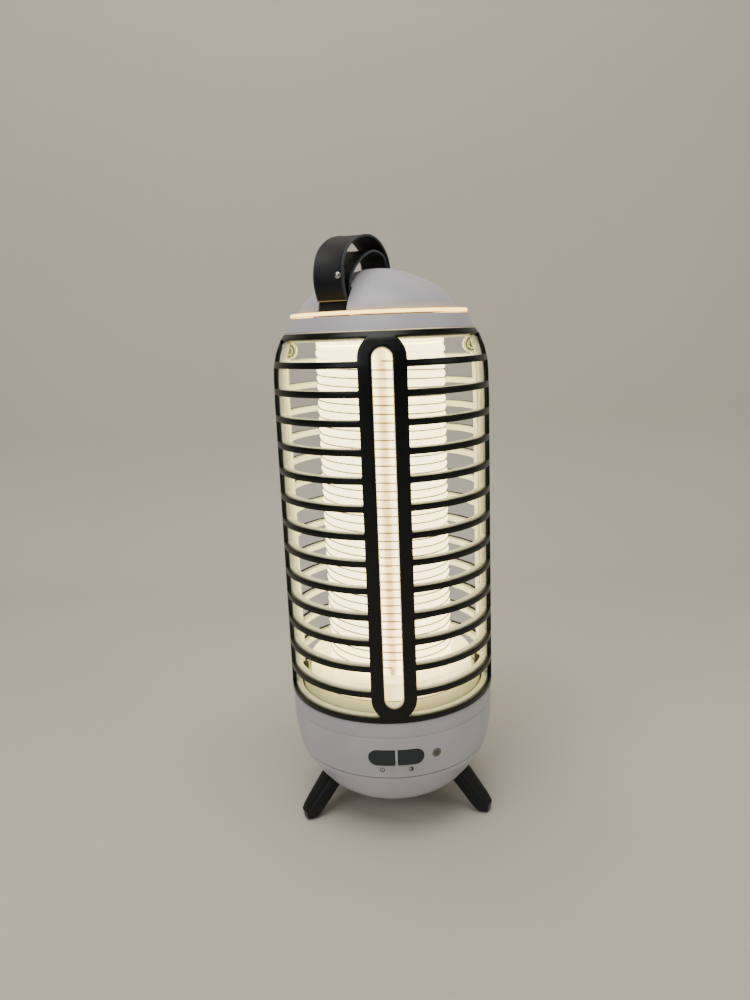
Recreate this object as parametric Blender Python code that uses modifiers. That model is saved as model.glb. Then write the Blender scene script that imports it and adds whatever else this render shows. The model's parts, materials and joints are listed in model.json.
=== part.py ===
"""Portable electric bug zapper: caged lantern with a strap, a bowl base and three folding legs.

Metres, +Z up. The origin is on the floor, on the lantern's upright axis, and the buttons face -Y.
"""
import bpy
import bmesh
from math import sin, cos, asin, pi, tau, radians, sqrt
from mathutils import Vector, Matrix

MM = 0.001
GAP = 0.3 * MM                      # clearance between neighbouring pieces
SEGMENTS = 24                       # facets of every turned piece
MERGE = 0.00001
FAR = 60.0 * MM                     # past the outside of every piece, for cutters

# Cage
CAGE_RADIUS = 52.5 * MM
CAGE_WALL = 1.6 * MM
LINER_GAP = 0.5 * MM
LINER_WALL = 3.0 * MM
BAND_TOP = 244.4 * MM
BAND_BOTTOM = 64.6 * MM
FIRST_HOOP = 243.1 * MM
HOOP_PITCH = 12.64 * MM
HOOP_HEIGHT = 3.0 * MM
HOOP_COUNT = 15
TOP_BAND_UNDERSIDE = 241.9 * MM
BOTTOM_BAND_CREST = 67.5 * MM
RIB_HALF_WIDTH = 10.8 * MM
RIB_SLOT_HALF_WIDTH = 4.6 * MM
RIB_NECK = 6.2 * MM
RIB_SLOT_FLAT = 2.2 * MM
RIB_TOP_CENTRE = 233.2 * MM
RIB_BOTTOM_CENTRE = 76.4 * MM
ROUND_END_STEPS = (0.0, 2.3 * MM, 4.0 * MM, 6.4 * MM)
BARS_PER_QUARTER = 4
BOSS_RADIUS = 2.4 * MM
LOW_BOSS = (45.6 * MM, 70.6 * MM, 77.0 * MM)        # distance from the axis, underside, top
HIGH_BOSS = (42.3 * MM, 234.0 * MM, 240.5 * MM)
SHOULDER = [(46.0, 244.4), (48.1, 241.4), (50.4, 235.7), (51.8, 229.9), (52.2, 224.1),
            (52.5, 212.0)]

# Head
DOME = [(0, 273.4), (6.6, 272.9), (13.1, 271.4), (19.0, 269.1), (25.4, 266.2), (30.5, 263.1),
        (34.9, 259.3), (37.4, 256.4), (38.8, 253.8)]
DOME_WALL = 3.4 * MM
FRONT_NOTCH = (-46.0 * MM, -26.0 * MM)  # along the strap, and open through the rim
REAR_SLOT = (25.6 * MM, 33.8 * MM)
STRAP_ROOM = 1.0 * MM               # notch and slot are wider than the strap by this
NOTCH_CENTRE = 258.0 * MM
NOTCH_TALL = 40.0 * MM
LIGHT_RING_RADIUS = 42.5 * MM
LIGHT_RING_TOP = 253.5 * MM
LIGHT_RING_BOTTOM = 251.5 * MM
LIGHT_RING_WALL = 1.9 * MM
LIGHT_RING_CROWN = 0.3 * MM
TOP_COLLAR = [(42.4, 251.2), (43.4, 249.2), (45.7, 244.7), (43.7, 244.7), (40.6, 251.2)]
DECK_RADIUS = 42.0 * MM
DECK_TOP = 246.2 * MM
DECK_BOTTOM = 244.7 * MM
LED_RING_INNER = 36.0 * MM
LED_RING_OUTER = 40.6 * MM
LED_RING_GAP = (24.0 * MM, 14.0 * MM, 20.0 * MM)    # the board is open here, round the front bracket
BOARD_THICKNESS = 1.2 * MM

# Strap, in its own upright plane: s runs front to back, z up
STRAP_TURN = radians(-18.4)         # the plane's angle from the Y axis
STRAP_OFFSET = -10.5 * MM           # the plane crosses the X axis here
STRAP_WIDTH = 14.0 * MM
STRAP_THICKNESS = 1.1 * MM
PIN_RADIUS = 1.1 * MM
PIN_LENGTH = 20.0 * MM
PIN_HEIGHT = 251.6 * MM
PIN_BORE_REACH = 15.0 * MM
FRONT_PIN = -30.0 * MM
REAR_PIN = 29.5 * MM
PIN_TURN_ROOM = 0.5 * MM            # between the pin and the strap that turns round it
BRACKET_FOOT = (20.0 * MM, 4.4 * MM, 1.0 * MM)
BRACKET_EAR = (2.0 * MM, 4.2 * MM)
BRACKET_EAR_PLACE = 8.9 * MM
BRACKET_TOP = 253.4 * MM
BRACKET_REACH = 40.3 * MM            # inside the light ring
BRACKET_TRIM = (260.0 * MM, 240.0 * MM)
BRACKET_EAR_FOOT = 0.3 * MM
RIVET_PLACE = (-35.95 * MM, 4.5 * MM, 268.5 * MM)
RIVET_RADII = (1.5 * MM, 0.9 * MM)
RIVET_TALL = 1.2 * MM
OUTER_LOOP = [(-31.6, 257), (-35.3, 263), (-36, 269), (-33.2, 276), (-26.5, 281.5), (-15, 286), (-2, 288.4),
              (9, 288.8), (20, 287), (29.5, 282.8), (34, 278.3), (35, 273), (32.6, 264), (30.9, 257)]
INNER_LOOP = [(27.7, 257), (30, 266), (30.6, 273), (28.8, 278.4), (23.5, 281.4), (12, 282.4), (3, 281.2),
              (-10, 277.2), (-21, 271.5), (-26.6, 266), (-28.2, 257)]

# Glowing core
TUBE_RADIUS = 29.0 * MM
TUBE_WALL = 2.0 * MM
TUBE_BOTTOM = 79.8 * MM
TUBE_TOP = 238.0 * MM
WIRE_RADIUS = 0.35 * MM
WIRE_COIL_RADIUS = 31.2 * MM
WIRE_LEAD = 8.0 * MM
WIRE_BOTTOM = 83.0 * MM
WIRE_TURNS = 18.5
WIRE_POINTS_PER_TURN = 10
DRUM_RADIUS = 42.0 * MM
DRUM_TOP = 79.5 * MM
DRUM_BOTTOM = 70.8 * MM
LED_ROWS = 12
LED_PITCH = 12.0 * MM
LED_SIZE = 2.8 * MM
LED_DEPTH = 0.8 * MM
LED_PROUD = 0.3 * MM
FIRST_LED = 88.0 * MM
POST_SIZE = 10.0 * MM
POST_HEIGHT = 165.0 * MM
POST_MIDDLE = 153.2 * MM
TERMINAL_RADIUS = 1.2 * MM
TERMINAL_TOP = 82.2 * MM
CONTACT_PLACE = 9.0 * MM
CONTACT_BOTTOM = 242.9 * MM
CONTACT_TOP = 244.4 * MM
DRUM_BORE = 26.0 * MM
DRUM_SKIRT = 40.4 * MM
DRUM_UNDERSIDE = 77.9 * MM
DRUM_CHAMFER = 1.0 * MM
CORE_TOP_CAP = [(0, 242.6), (20, 242.6), (30.5, 240.5), (30.5, 238.3), (0, 238.3)]
CORE_PLATE = [(0, 70.4), (40.6, 70.4), (40.6, 68.7), (0, 68.7)]
INSECT_TRAY = [(41.0, 70.1), (46.4, 67.3), (46.4, 53.4), (44.8, 53.4), (44.8, 66.3), (41.0, 68.3)]

# Base
BASE = [(52.0, 56.4), (51.8, 50), (51.3, 44), (50.4, 38.8), (49.6, 34.9)]
BASE_WALL = 2.2 * MM
TWIST_RING = [(51.9, 64.3), (52.0, 56.8), (49.8, 56.8), (49.8, 62.6), (48.0, 62.6), (48.0, 64.3)]
BASE_DECK = [(0, 53.1), (49.0, 53.1), (49.0, 51.3), (0, 51.3)]
BOWL = [(49.3, 34.4), (48.3, 31.6), (46.0, 28), (42.9, 23), (39.0, 18), (34.4, 14), (29.6, 11.4),
        (26, 10.4)]
BOWL_FLOOR = 10.3 * MM
BOWL_WALL = 2.4 * MM
BOWL_FILLET = 2.0 * MM
SCREW_CIRCLE = 20.0 * MM
SCREW_ANGLES = (0.0, tau / 3, -tau / 3)
SCREW_HOLE_RADIUS = 1.7 * MM
SCREW_HEAD_RADIUS = 2.8 * MM
SCREW_SHANK_RADIUS = 1.4 * MM
SCREW_HEAD_BOTTOM = 10.6 * MM
SCREW_HEAD_TOP = 11.4 * MM
SCREW_RECESS = (8.0 * MM, 11.7 * MM)    # the counterbore that the head sits in
SCREW_HOLE = (9.0 * MM, 20.0 * MM)
SCREW_NECK = 11.0 * MM
SCREW_TIP = 26.0 * MM
CHASSIS_PLATE = [(0, 31.2), (43.2, 31.2), (43.2, 29.4), (0, 29.4)]
CHASSIS_EAR = (2.2 * MM, 5.6 * MM, 9.0 * MM)
CHASSIS_EAR_PLACE = 8.4 * MM
CHASSIS_EAR_RISE = 0.6 * MM
BUTTON_HEIGHT = 46.5 * MM
BUTTON_HALF_HEIGHT = 4.2 * MM
BUTTON_REACH = 13.4 * MM
BUTTON_DIVIDER = 1.2 * MM
BUTTON_FACE_RADIUS = 51.8 * MM
BUTTON_CLEARANCE = 0.3 * MM
BUTTON_SIDES = 20
BASE_FACE_SPAN = (60.0 * MM, 30.0 * MM)
SENSOR_ANGLE = radians(22.2)
SENSOR_RADIUS = 2.5 * MM
SENSOR_HEIGHT = 46.4 * MM
SENSOR_LENS_SPAN = (48.6 * MM, 51.6 * MM)
SENSOR_CELL_SPAN = (45.0 * MM, 48.2 * MM)
SENSOR_CELL_RADIUS = 2.0 * MM
BUTTON_BACK = 46.8 * MM
SWITCH_PLACE = 6.8 * MM
SWITCH_BODY = (5.0 * MM, 1.6 * MM, 5.0 * MM)
SWITCH_CENTRE = 43.5 * MM
PLUNGER_RADIUS = 1.2 * MM
PLUNGER_SPAN = (45.4 * MM, 43.0 * MM)
INLET_HEIGHT = 44.0 * MM
INLET_WIDTH = 13.0 * MM
INLET_TALL = 7.0 * MM
INLET_COVER_FACE = 51.4 * MM
INLET_COVER_DEPTH = 14.0 * MM
INLET_COVER_MIDDLE = 56.6 * MM
SOCKET = (9.0 * MM, 7.4 * MM, 3.2 * MM)
SOCKET_MIDDLE = 45.0 * MM
SOCKET_MOUTH = (8.0 * MM, 8.0 * MM, 2.2 * MM)
SOCKET_MOUTH_MIDDLE = 46.6 * MM
CHARGE_BOARD = (16.0 * MM, 13.0 * MM, 1.2 * MM)
CHARGE_BOARD_MIDDLE = 40.5 * MM
CHARGE_BOARD_DROP = 2.5 * MM

# What the base holds: sizes, and the middles of the pieces
MAIN_BOARD = (46.0 * MM, 17.0 * MM, 1.6 * MM)
MAIN_BOARD_MIDDLE = (0, -28.0 * MM, 35.0 * MM)
TRANSFORMER = (15.0 * MM, 12.0 * MM, 11.0 * MM)
TRANSFORMER_MIDDLE = (-12.0 * MM, -28.0 * MM, 41.6 * MM)
CAPACITOR_RADIUS = 5.0 * MM
CAPACITOR_FOOT = (12.0 * MM, -28.0 * MM, 36.1 * MM)
CAPACITOR_HEAD = (12.0 * MM, -28.0 * MM, 48.0 * MM)
CELL_SIDES = 16
HOLDER = (72.0 * MM, 40.0 * MM, 1.1 * MM)
HOLDER_MIDDLE = (0, 3.0 * MM, 32.05 * MM)
HOLDER_END = (2.0 * MM, 40.0 * MM, 12.0 * MM)
HOLDER_END_PLACE = 35.0 * MM
HOLDER_END_HEIGHT = 38.0 * MM
CELL_RADIUS = 9.0 * MM
CELL_REACH = 32.6 * MM
CELL_HEIGHT = 41.95 * MM
CELL_ROWS = (-6.8 * MM, 12.8 * MM)

# Legs: each turns about a pin inside the bowl
LEG_ANGLES = {"leg_front_left": radians(-60), "leg_front_right": radians(60), "leg_rear": radians(180)}
LEG_PIVOT = (33.4 * MM, 24.9 * MM)
LEG_FOOT = (51.5 * MM, 3.8 * MM)
LEG_HEAD_WIDTH = 13.0 * MM
LEG_FOOT_WIDTH = 8.6 * MM
LEG_HEAD_RADIUS = 3.7 * MM
LEG_FOOT_RADIUS = 4.0 * MM
LEG_PIN_RADIUS = 1.5 * MM
LEG_PIN_REACH = 10.2 * MM
LEG_BORE_REACH = 12.0 * MM
LEG_EDGE = 1.2 * MM
LEG_SIDES = 12
LEG_WELL_START = 5.2 * MM
LEG_WELL_LOW = 4.0 * MM
LEG_WELL_HIGH = 27.0 * MM
LEG_WELL_CLEARANCE = 0.8 * MM

PLASTIC = (0.36, 0.33, 0.37)
DARK = (0.03, 0.035, 0.045)
BLACK = (0.008, 0.010, 0.010)
GLOW = (0.95, 0.90, 0.72)
STEEL = (0.60, 0.60, 0.62)
BOARD = (0.03, 0.16, 0.07)
TAPE = (0.5, 0.4, 0.05)
SLEEVE = (0.05, 0.08, 0.25)
WRAP = (0.1, 0.2, 0.5)


# ---------------------------------------------------------------- scene and small helpers

def clear_scene():
    for item in list(bpy.data.objects):
        bpy.data.objects.remove(item, do_unlink=True)


def new_collection(name):
    collection = bpy.data.collections.new(name)
    bpy.context.scene.collection.children.link(collection)
    return collection


def principled(name, colour, roughness, metallic=0.0):
    material = bpy.data.materials.new(name)
    material.use_nodes = True
    shader = material.node_tree.nodes["Principled BSDF"]
    shader.inputs["Base Color"].default_value = (*colour, 1.0)
    shader.inputs["Roughness"].default_value = roughness
    shader.inputs["Metallic"].default_value = metallic
    return material


def keep(obj, name, colour, roughness, metallic=0.0):
    """Name a finished sub-part, give it its own material and put it with the parts."""
    obj.name = name
    obj.data.name = name
    obj.data.materials.clear()
    obj.data.materials.append(principled(name, colour, roughness, metallic))
    for collection in list(obj.users_collection):
        collection.objects.unlink(obj)
    PARTS.objects.link(obj)
    return obj


def as_cutter(obj):
    obj.hide_render = True
    obj.display_type = "WIRE"
    for collection in list(obj.users_collection):
        collection.objects.unlink(obj)
    CUTTERS.objects.link(obj)
    return obj


def from_bmesh(name, bm):
    mesh = bpy.data.meshes.new(name)
    bm.to_mesh(mesh)
    bm.free()
    obj = bpy.data.objects.new(name, mesh)
    PARTS.objects.link(obj)
    return obj


def boolean(obj, other, operation):
    modifier = obj.modifiers.new(operation.lower(), "BOOLEAN")
    modifier.operation = operation
    modifier.solver = "EXACT"
    modifier.object = as_cutter(other)
    return obj


def cut(obj, cutter):
    return boolean(obj, cutter, "DIFFERENCE")


def millimetres(points):
    return [(r * MM, z * MM) for r, z in points]


def shifted(points, inwards):
    """The same turned outline, moved towards the axis and the inside by a distance along its normals."""
    moved = []
    for i, (r, z) in enumerate(points):
        before = points[max(i - 1, 0)]
        after = points[min(i + 1, len(points) - 1)]
        run = (after[0] - before[0], after[1] - before[1])
        length = sqrt(run[0] ** 2 + run[1] ** 2)
        normal = (run[1] / length, -run[0] / length)
        if r < MERGE:
            moved.append((0.0, z - inwards))
        else:
            moved.append((max(r + normal[0] * inwards, 0.0), z + normal[1] * inwards))
    return moved


def shell_section(outline, wall):
    """The closed section of a shell: the outline down its outer side, and back up inside it."""
    inner = shifted(outline, wall)
    inner[-1] = (inner[-1][0], outline[-1][1])
    return outline + list(reversed(inner))


def turned(profile, closed=True):
    """A solid of revolution about Z; the profile runs down its outer side."""
    bm = bmesh.new()
    corners = [bm.verts.new((r, 0, z)) for r, z in profile]
    for a, b in zip(corners, corners[1:]):
        bm.edges.new((a, b))
    if closed:
        bm.edges.new((corners[-1], corners[0]))
    obj = from_bmesh("turned", bm)
    screw = obj.modifiers.new("turn", "SCREW")
    screw.steps = SEGMENTS
    screw.render_steps = SEGMENTS
    screw.use_merge_vertices = True
    screw.merge_threshold = MERGE
    screw.use_smooth_shade = True
    return obj


def box(size, centre, turn=0.0):
    """A box turned about Z by an angle, with its centre at a place."""
    bm = bmesh.new()
    bmesh.ops.create_cube(bm, size=1.0)
    bmesh.ops.scale(bm, vec=size, verts=bm.verts)
    matrix = Matrix.Translation(centre) @ Matrix.Rotation(turn, 4, "Z")
    bmesh.ops.transform(bm, matrix=matrix, verts=bm.verts)
    return from_bmesh("box", bm)


def rod(radius, start, end, sides=12, end_radius=None):
    """A round rod, or a cone, between two points."""
    start, end = Vector(start), Vector(end)
    bm = bmesh.new()
    bmesh.ops.create_cone(bm, cap_ends=True, segments=sides, radius1=radius,
                          radius2=radius if end_radius is None else end_radius, depth=(end - start).length)
    turn = (end - start).to_track_quat("Z", "Y").to_matrix().to_4x4() @ Matrix.Rotation(pi / sides, 4, "Z")
    bmesh.ops.transform(bm, matrix=Matrix.Translation((start + end) / 2) @ turn, verts=bm.verts)
    obj = from_bmesh("rod", bm)
    obj.data.shade_smooth()
    obj.data.set_sharp_from_angle(angle=radians(40))
    return obj


def grouped(objects):
    """Several separate solids as one object."""
    bm = bmesh.new()
    for obj in objects:
        bm.from_mesh(obj.data)
        bpy.data.objects.remove(obj, do_unlink=True)
    return from_bmesh("group", bm)


def radial(angle, radius, height):
    """A point at an angle from the front, turning towards +X."""
    return Vector((radius * sin(angle), -radius * cos(angle), height))


# ---------------------------------------------------------------- cage

def cage_radius(z, profile):
    """The cage's outer radius at a height, along its shoulder and down its straight wall."""
    last = len(profile) - 2
    for i, ((r1, z1), (r2, z2)) in enumerate(zip(profile, profile[1:])):
        if z >= z2 or i == last:
            return r1 + (r2 - r1) * (z1 - z) / (z1 - z2)


def round_ended(z, half_width, flat):
    """Half the width, at a height, of an upright strip with round ends; at least flat wide past them."""
    beyond = max(z - RIB_TOP_CENTRE, RIB_BOTTOM_CENTRE - z, 0.0)
    return sqrt(max(half_width ** 2 - beyond ** 2, flat ** 2))


def cage_rows():
    """Heights of the cage's cross lines, and the hoops' spans."""
    hoops = [(BAND_TOP, TOP_BAND_UNDERSIDE)]
    for i in range(1, HOOP_COUNT - 1):
        middle = FIRST_HOOP - HOOP_PITCH * i
        hoops.append((middle + HOOP_HEIGHT / 2, middle - HOOP_HEIGHT / 2))
    hoops.append((BOTTOM_BAND_CREST, BAND_BOTTOM))
    heights = [z for hoop in hoops for z in hoop]
    for step in ROUND_END_STEPS:
        heights += [RIB_TOP_CENTRE + step, RIB_BOTTOM_CENTRE - step]
    heights += [z * MM for r, z in SHOULDER[1:]]
    return sorted(heights, reverse=True), hoops


def cage_surface(profile):
    """The cage as an open surface: a turned grid with the cells of its windows and slots left out."""
    heights, hoops = cage_rows()
    slot_top = RIB_TOP_CENTRE + ROUND_END_STEPS[2]
    slot_low = RIB_BOTTOM_CENTRE - ROUND_END_STEPS[2]
    bm = bmesh.new()
    grid = []
    for z in heights:
        r = cage_radius(z, profile)
        rib = asin(round_ended(z, RIB_HALF_WIDTH, RIB_NECK) / r)
        slot = asin(round_ended(z, RIB_SLOT_HALF_WIDTH, RIB_SLOT_FLAT) / r)
        row = []
        for quarter in range(4):
            middle = quarter * pi / 2
            span = (pi / 2 - 2 * rib) / BARS_PER_QUARTER
            turns = [-rib, -slot, slot] + [rib + span * i for i in range(BARS_PER_QUARTER)]
            row += [bm.verts.new(radial(middle + turn, r, z)) for turn in turns]
        grid.append(row)
    columns = len(grid[0])
    per_quarter = columns // 4
    for (upper, lower), (top, low) in zip(zip(grid, grid[1:]), zip(heights, heights[1:])):
        middle = (top + low) / 2
        in_hoop = any(hoop_low < middle < hoop_top for hoop_top, hoop_low in hoops)
        for i in range(columns):
            place = i % per_quarter
            in_slot = place == 1 and slot_low < middle < slot_top
            if (place < 3 or in_hoop) and not in_slot:
                j = (i + 1) % columns
                bm.faces.new((upper[i], lower[i], lower[j], upper[j]))
    bmesh.ops.delete(bm, geom=[v for v in bm.verts if not v.link_faces], context="VERTS")
    bmesh.ops.dissolve_limit(bm, angle_limit=radians(1), verts=bm.verts, edges=bm.edges)
    return from_bmesh("cage", bm)


def hooped_cage(profile, wall):
    cage = cage_surface(profile)
    solidify = cage.modifiers.new("wall", "SOLIDIFY")
    solidify.thickness = wall
    solidify.offset = -1.0
    return cage


def make_cages():
    profile = millimetres(SHOULDER) + [(CAGE_RADIUS, BAND_BOTTOM)]
    keep(hooped_cage(profile, CAGE_WALL), "outer_cage", BLACK, 0.35)
    liner = hooped_cage(shifted(profile, CAGE_WALL + LINER_GAP), LINER_WALL)
    for side in (-1, 1):
        for place, low, high in (LOW_BOSS, HIGH_BOSS):
            boolean(liner, rod(BOSS_RADIUS, (side * place, 0, low), (side * place, 0, high)), "UNION")
    keep(liner, "inner_cage", (0.62, 0.64, 0.50), 0.45)


# ---------------------------------------------------------------- head

def round_block(radius, top, bottom):
    """A plain round block on the axis, that trims a piece or gives it a round face."""
    return turned([(0, top), (radius, top), (radius, bottom), (0, bottom)], closed=False)


def strap_place(s, across, height):
    """A point of the strap's plane: s along it, across it, and the height."""
    along = Vector((-sin(STRAP_TURN), cos(STRAP_TURN), 0))
    side = Vector((cos(STRAP_TURN), sin(STRAP_TURN), 0))
    return Vector((STRAP_OFFSET, 0, height)) + along * s + side * across


def make_dome():
    outline = millimetres(DOME)
    dome = turned(shell_section(outline, DOME_WALL), closed=False)
    for start, end in (FRONT_NOTCH, REAR_SLOT):
        size = (STRAP_WIDTH + STRAP_ROOM, end - start, NOTCH_TALL)
        cut(dome, box(size, strap_place((start + end) / 2, 0, NOTCH_CENTRE), STRAP_TURN))
    keep(dome, "dome_cap", PLASTIC, 0.5)


def smooth_loop(points, steps):
    """Points on a closed Catmull-Rom curve through the given ones."""
    curve = []
    count = len(points)
    for i in range(count):
        a, b, c, d = (Vector(points[(i + k) % count]) for k in (-1, 0, 1, 2))
        for step in range(steps):
            t = step / steps
            curve.append(0.5 * (2 * b + (c - a) * t + (2 * a - 5 * b + 4 * c - d) * t ** 2
                                + (3 * b - a - 3 * c + d) * t ** 3))
    return curve


def strap_path():
    """The closed band: up and over, round the rear pin, back under itself and round the front pin."""
    turn = PIN_RADIUS + PIN_TURN_ROOM + STRAP_THICKNESS / 2
    path = millimetres(OUTER_LOOP)
    path += [(REAR_PIN + turn, PIN_HEIGHT), (REAR_PIN, PIN_HEIGHT - turn), (REAR_PIN - turn, PIN_HEIGHT)]
    path += millimetres(INNER_LOOP)
    path += [(FRONT_PIN + turn, PIN_HEIGHT), (FRONT_PIN, PIN_HEIGHT - turn), (FRONT_PIN - turn, PIN_HEIGHT)]
    return smooth_loop(path, 2)


def pin_bracket(s):
    """A sheet-metal U on the head's deck that holds one strap pin, trimmed inside the light ring."""
    foot = DECK_TOP + GAP
    base = box(BRACKET_FOOT, strap_place(s, 0, foot + BRACKET_FOOT[2] / 2), STRAP_TURN)
    ear_foot = foot + BRACKET_EAR_FOOT
    for across in (-BRACKET_EAR_PLACE, BRACKET_EAR_PLACE):
        centre = strap_place(s, across, (ear_foot + BRACKET_TOP) / 2)
        boolean(base, box((*BRACKET_EAR, BRACKET_TOP - ear_foot), centre, STRAP_TURN), "UNION")
    start = strap_place(s, -PIN_BORE_REACH, PIN_HEIGHT)
    end = strap_place(s, PIN_BORE_REACH, PIN_HEIGHT)
    cut(base, rod(PIN_RADIUS + GAP / 2, start, end))
    return boolean(base, round_block(BRACKET_REACH, *BRACKET_TRIM), "INTERSECT")


def make_strap():
    bm = bmesh.new()
    rows = []
    for s, z in strap_path():
        rows.append([bm.verts.new(strap_place(s, side * STRAP_WIDTH / 2, z)) for side in (-1, 1)])
    for a, b in zip(rows, rows[1:] + rows[:1]):
        bm.faces.new((a[0], a[1], b[1], b[0]))
    strap = from_bmesh("strap", bm)
    solidify = strap.modifiers.new("thickness", "SOLIDIFY")
    solidify.thickness = STRAP_THICKNESS
    solidify.offset = 0.0
    keep(strap, "strap", BLACK, 0.6)

    for name, s in (("strap_pin_front", FRONT_PIN), ("strap_pin_rear", REAR_PIN)):
        start = strap_place(s, -PIN_LENGTH / 2, PIN_HEIGHT)
        end = strap_place(s, PIN_LENGTH / 2, PIN_HEIGHT)
        keep(rod(PIN_RADIUS, start, end), name, STEEL, 0.3, 1.0)
    for name, s in (("strap_bracket_front", FRONT_PIN), ("strap_bracket_rear", REAR_PIN)):
        keep(pin_bracket(s), name, STEEL, 0.4, 1.0)
    s, across, height = RIVET_PLACE
    seat = strap_place(s - STRAP_THICKNESS / 2, across, height)
    outwards = strap_place(-1, 0, 0) - strap_place(0, 0, 0)
    base_radius, top_radius = RIVET_RADII
    rivet = rod(base_radius, seat + outwards * GAP, seat + outwards * RIVET_TALL, end_radius=top_radius)
    keep(rivet, "strap_rivet", STEEL, 0.2, 1.0)


def make_head_rings():
    r, top, low, wall = LIGHT_RING_RADIUS, LIGHT_RING_TOP, LIGHT_RING_BOTTOM, LIGHT_RING_WALL
    edge = r - LIGHT_RING_CROWN
    ring = turned([(edge, top), (r, (top + low) / 2), (edge, low), (r - wall, low), (r - wall, top)])
    keep(ring, "light_ring", GLOW, 0.3)
    collar = turned(millimetres(TOP_COLLAR))
    keep(collar, "top_collar", PLASTIC, 0.45)
    rim = [(DECK_RADIUS, DECK_TOP), (DECK_RADIUS, DECK_BOTTOM)]
    deck = turned([(0, DECK_TOP)] + rim + [(0, DECK_BOTTOM)], closed=False)
    keep(deck, "head_deck", PLASTIC, 0.6)
    low = DECK_TOP + GAP
    high = low + BOARD_THICKNESS
    boards = turned([(LED_RING_INNER, high), (LED_RING_OUTER, high),
                     (LED_RING_OUTER, low), (LED_RING_INNER, low)])
    cut(boards, box(LED_RING_GAP, strap_place(FRONT_PIN * 1.1, 0, low), STRAP_TURN))
    keep(boards, "ring_led_board", BOARD, 0.5)


# ---------------------------------------------------------------- glowing core

def helix(phase):
    """A wire wound on the core; its front falls towards +X."""
    count = int(WIRE_TURNS * WIRE_POINTS_PER_TURN) + 1
    curve = bpy.data.curves.new("wire", "CURVE")
    curve.dimensions = "3D"
    curve.bevel_depth = WIRE_RADIUS
    curve.bevel_resolution = 0
    curve.use_fill_caps = True
    spline = curve.splines.new("POLY")
    spline.points.add(count - 1)
    for i, point in enumerate(spline.points):
        turns = i / WIRE_POINTS_PER_TURN
        place = radial(phase - tau * turns, WIRE_COIL_RADIUS, WIRE_BOTTOM + WIRE_LEAD * turns)
        point.co = (*place, 1.0)
    obj = bpy.data.objects.new("wire", curve)
    PARTS.objects.link(obj)
    return obj


def make_core():
    r, wall = TUBE_RADIUS, TUBE_WALL
    tube = turned([(r, TUBE_TOP), (r, TUBE_BOTTOM), (r - wall, TUBE_BOTTOM), (r - wall, TUBE_TOP)])
    keep(tube, "core_tube", GLOW, 0.3)
    keep(helix(0.0), "grid_wire_live", STEEL, 0.35, 1.0)
    keep(helix(pi), "grid_wire_ground", STEEL, 0.35, 1.0)
    for phase, name in ((0.0, "terminal_live"), (pi, "terminal_ground")):
        start = radial(phase, WIRE_COIL_RADIUS, TUBE_BOTTOM)
        post = rod(TERMINAL_RADIUS, start, radial(phase, WIRE_COIL_RADIUS, TERMINAL_TOP))
        keep(post, name, STEEL, 0.35, 1.0)
    cap = turned(millimetres(CORE_TOP_CAP), closed=False)
    keep(cap, "core_top_cap", PLASTIC, 0.5)
    for side, name in ((-1, "top_contact_live"), (1, "top_contact_ground")):
        x = side * CONTACT_PLACE
        keep(rod(TERMINAL_RADIUS, (x, 0, CONTACT_BOTTOM), (x, 0, CONTACT_TOP)), name, STEEL, 0.3, 1.0)
    drum = turned([(DRUM_BORE, DRUM_TOP), (DRUM_RADIUS - DRUM_CHAMFER, DRUM_TOP),
                   (DRUM_RADIUS, DRUM_TOP - DRUM_CHAMFER), (DRUM_RADIUS, DRUM_BOTTOM),
                   (DRUM_SKIRT, DRUM_BOTTOM), (DRUM_SKIRT, DRUM_UNDERSIDE), (DRUM_BORE, DRUM_UNDERSIDE)])
    keep(drum, "core_drum", GLOW, 0.35)
    post = box((POST_SIZE, POST_SIZE, POST_HEIGHT), (0, 0, POST_MIDDLE))
    chips = []
    reach = POST_SIZE / 2 + LED_PROUD
    for row in range(LED_ROWS):
        height = FIRST_LED + LED_PITCH * row
        for side in range(4):
            centre = radial(side * pi / 2, reach, height)
            chips.append(box((LED_SIZE, LED_DEPTH, LED_SIZE), centre, side * pi / 2))
    boolean(post, grouped(chips), "UNION")
    keep(post, "uv_led_post", (0.75, 0.75, 0.76), 0.5)
    plate = turned(millimetres(CORE_PLATE), closed=False)
    keep(plate, "core_plate", PLASTIC, 0.6)
    tray = turned(millimetres(INSECT_TRAY))
    keep(tray, "insect_tray", (0.75, 0.76, 0.62), 0.5)


# ---------------------------------------------------------------- base

def half_pill(side, low_x, high_x, half_height, front, back):
    """A prism along Y: flat on the side towards the middle, half round on the far side."""
    centre = high_x - half_height
    bm = bmesh.new()
    bmesh.ops.create_cone(bm, cap_ends=True, segments=BUTTON_SIDES, radius1=half_height, radius2=half_height,
                          depth=back - front)
    half_step = Matrix.Rotation(tau / BUTTON_SIDES / 2, 4, "Z")
    bmesh.ops.transform(bm, matrix=Matrix.Rotation(pi / 2, 4, "X") @ half_step, verts=bm.verts)
    for vertex in bm.verts:
        if vertex.co.x * side < 0:
            vertex.co.x = side * low_x
        else:
            vertex.co.x += side * centre
        vertex.co.y += (front + back) / 2
        vertex.co.z += BUTTON_HEIGHT
    return from_bmesh("half_pill", bm)


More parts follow.
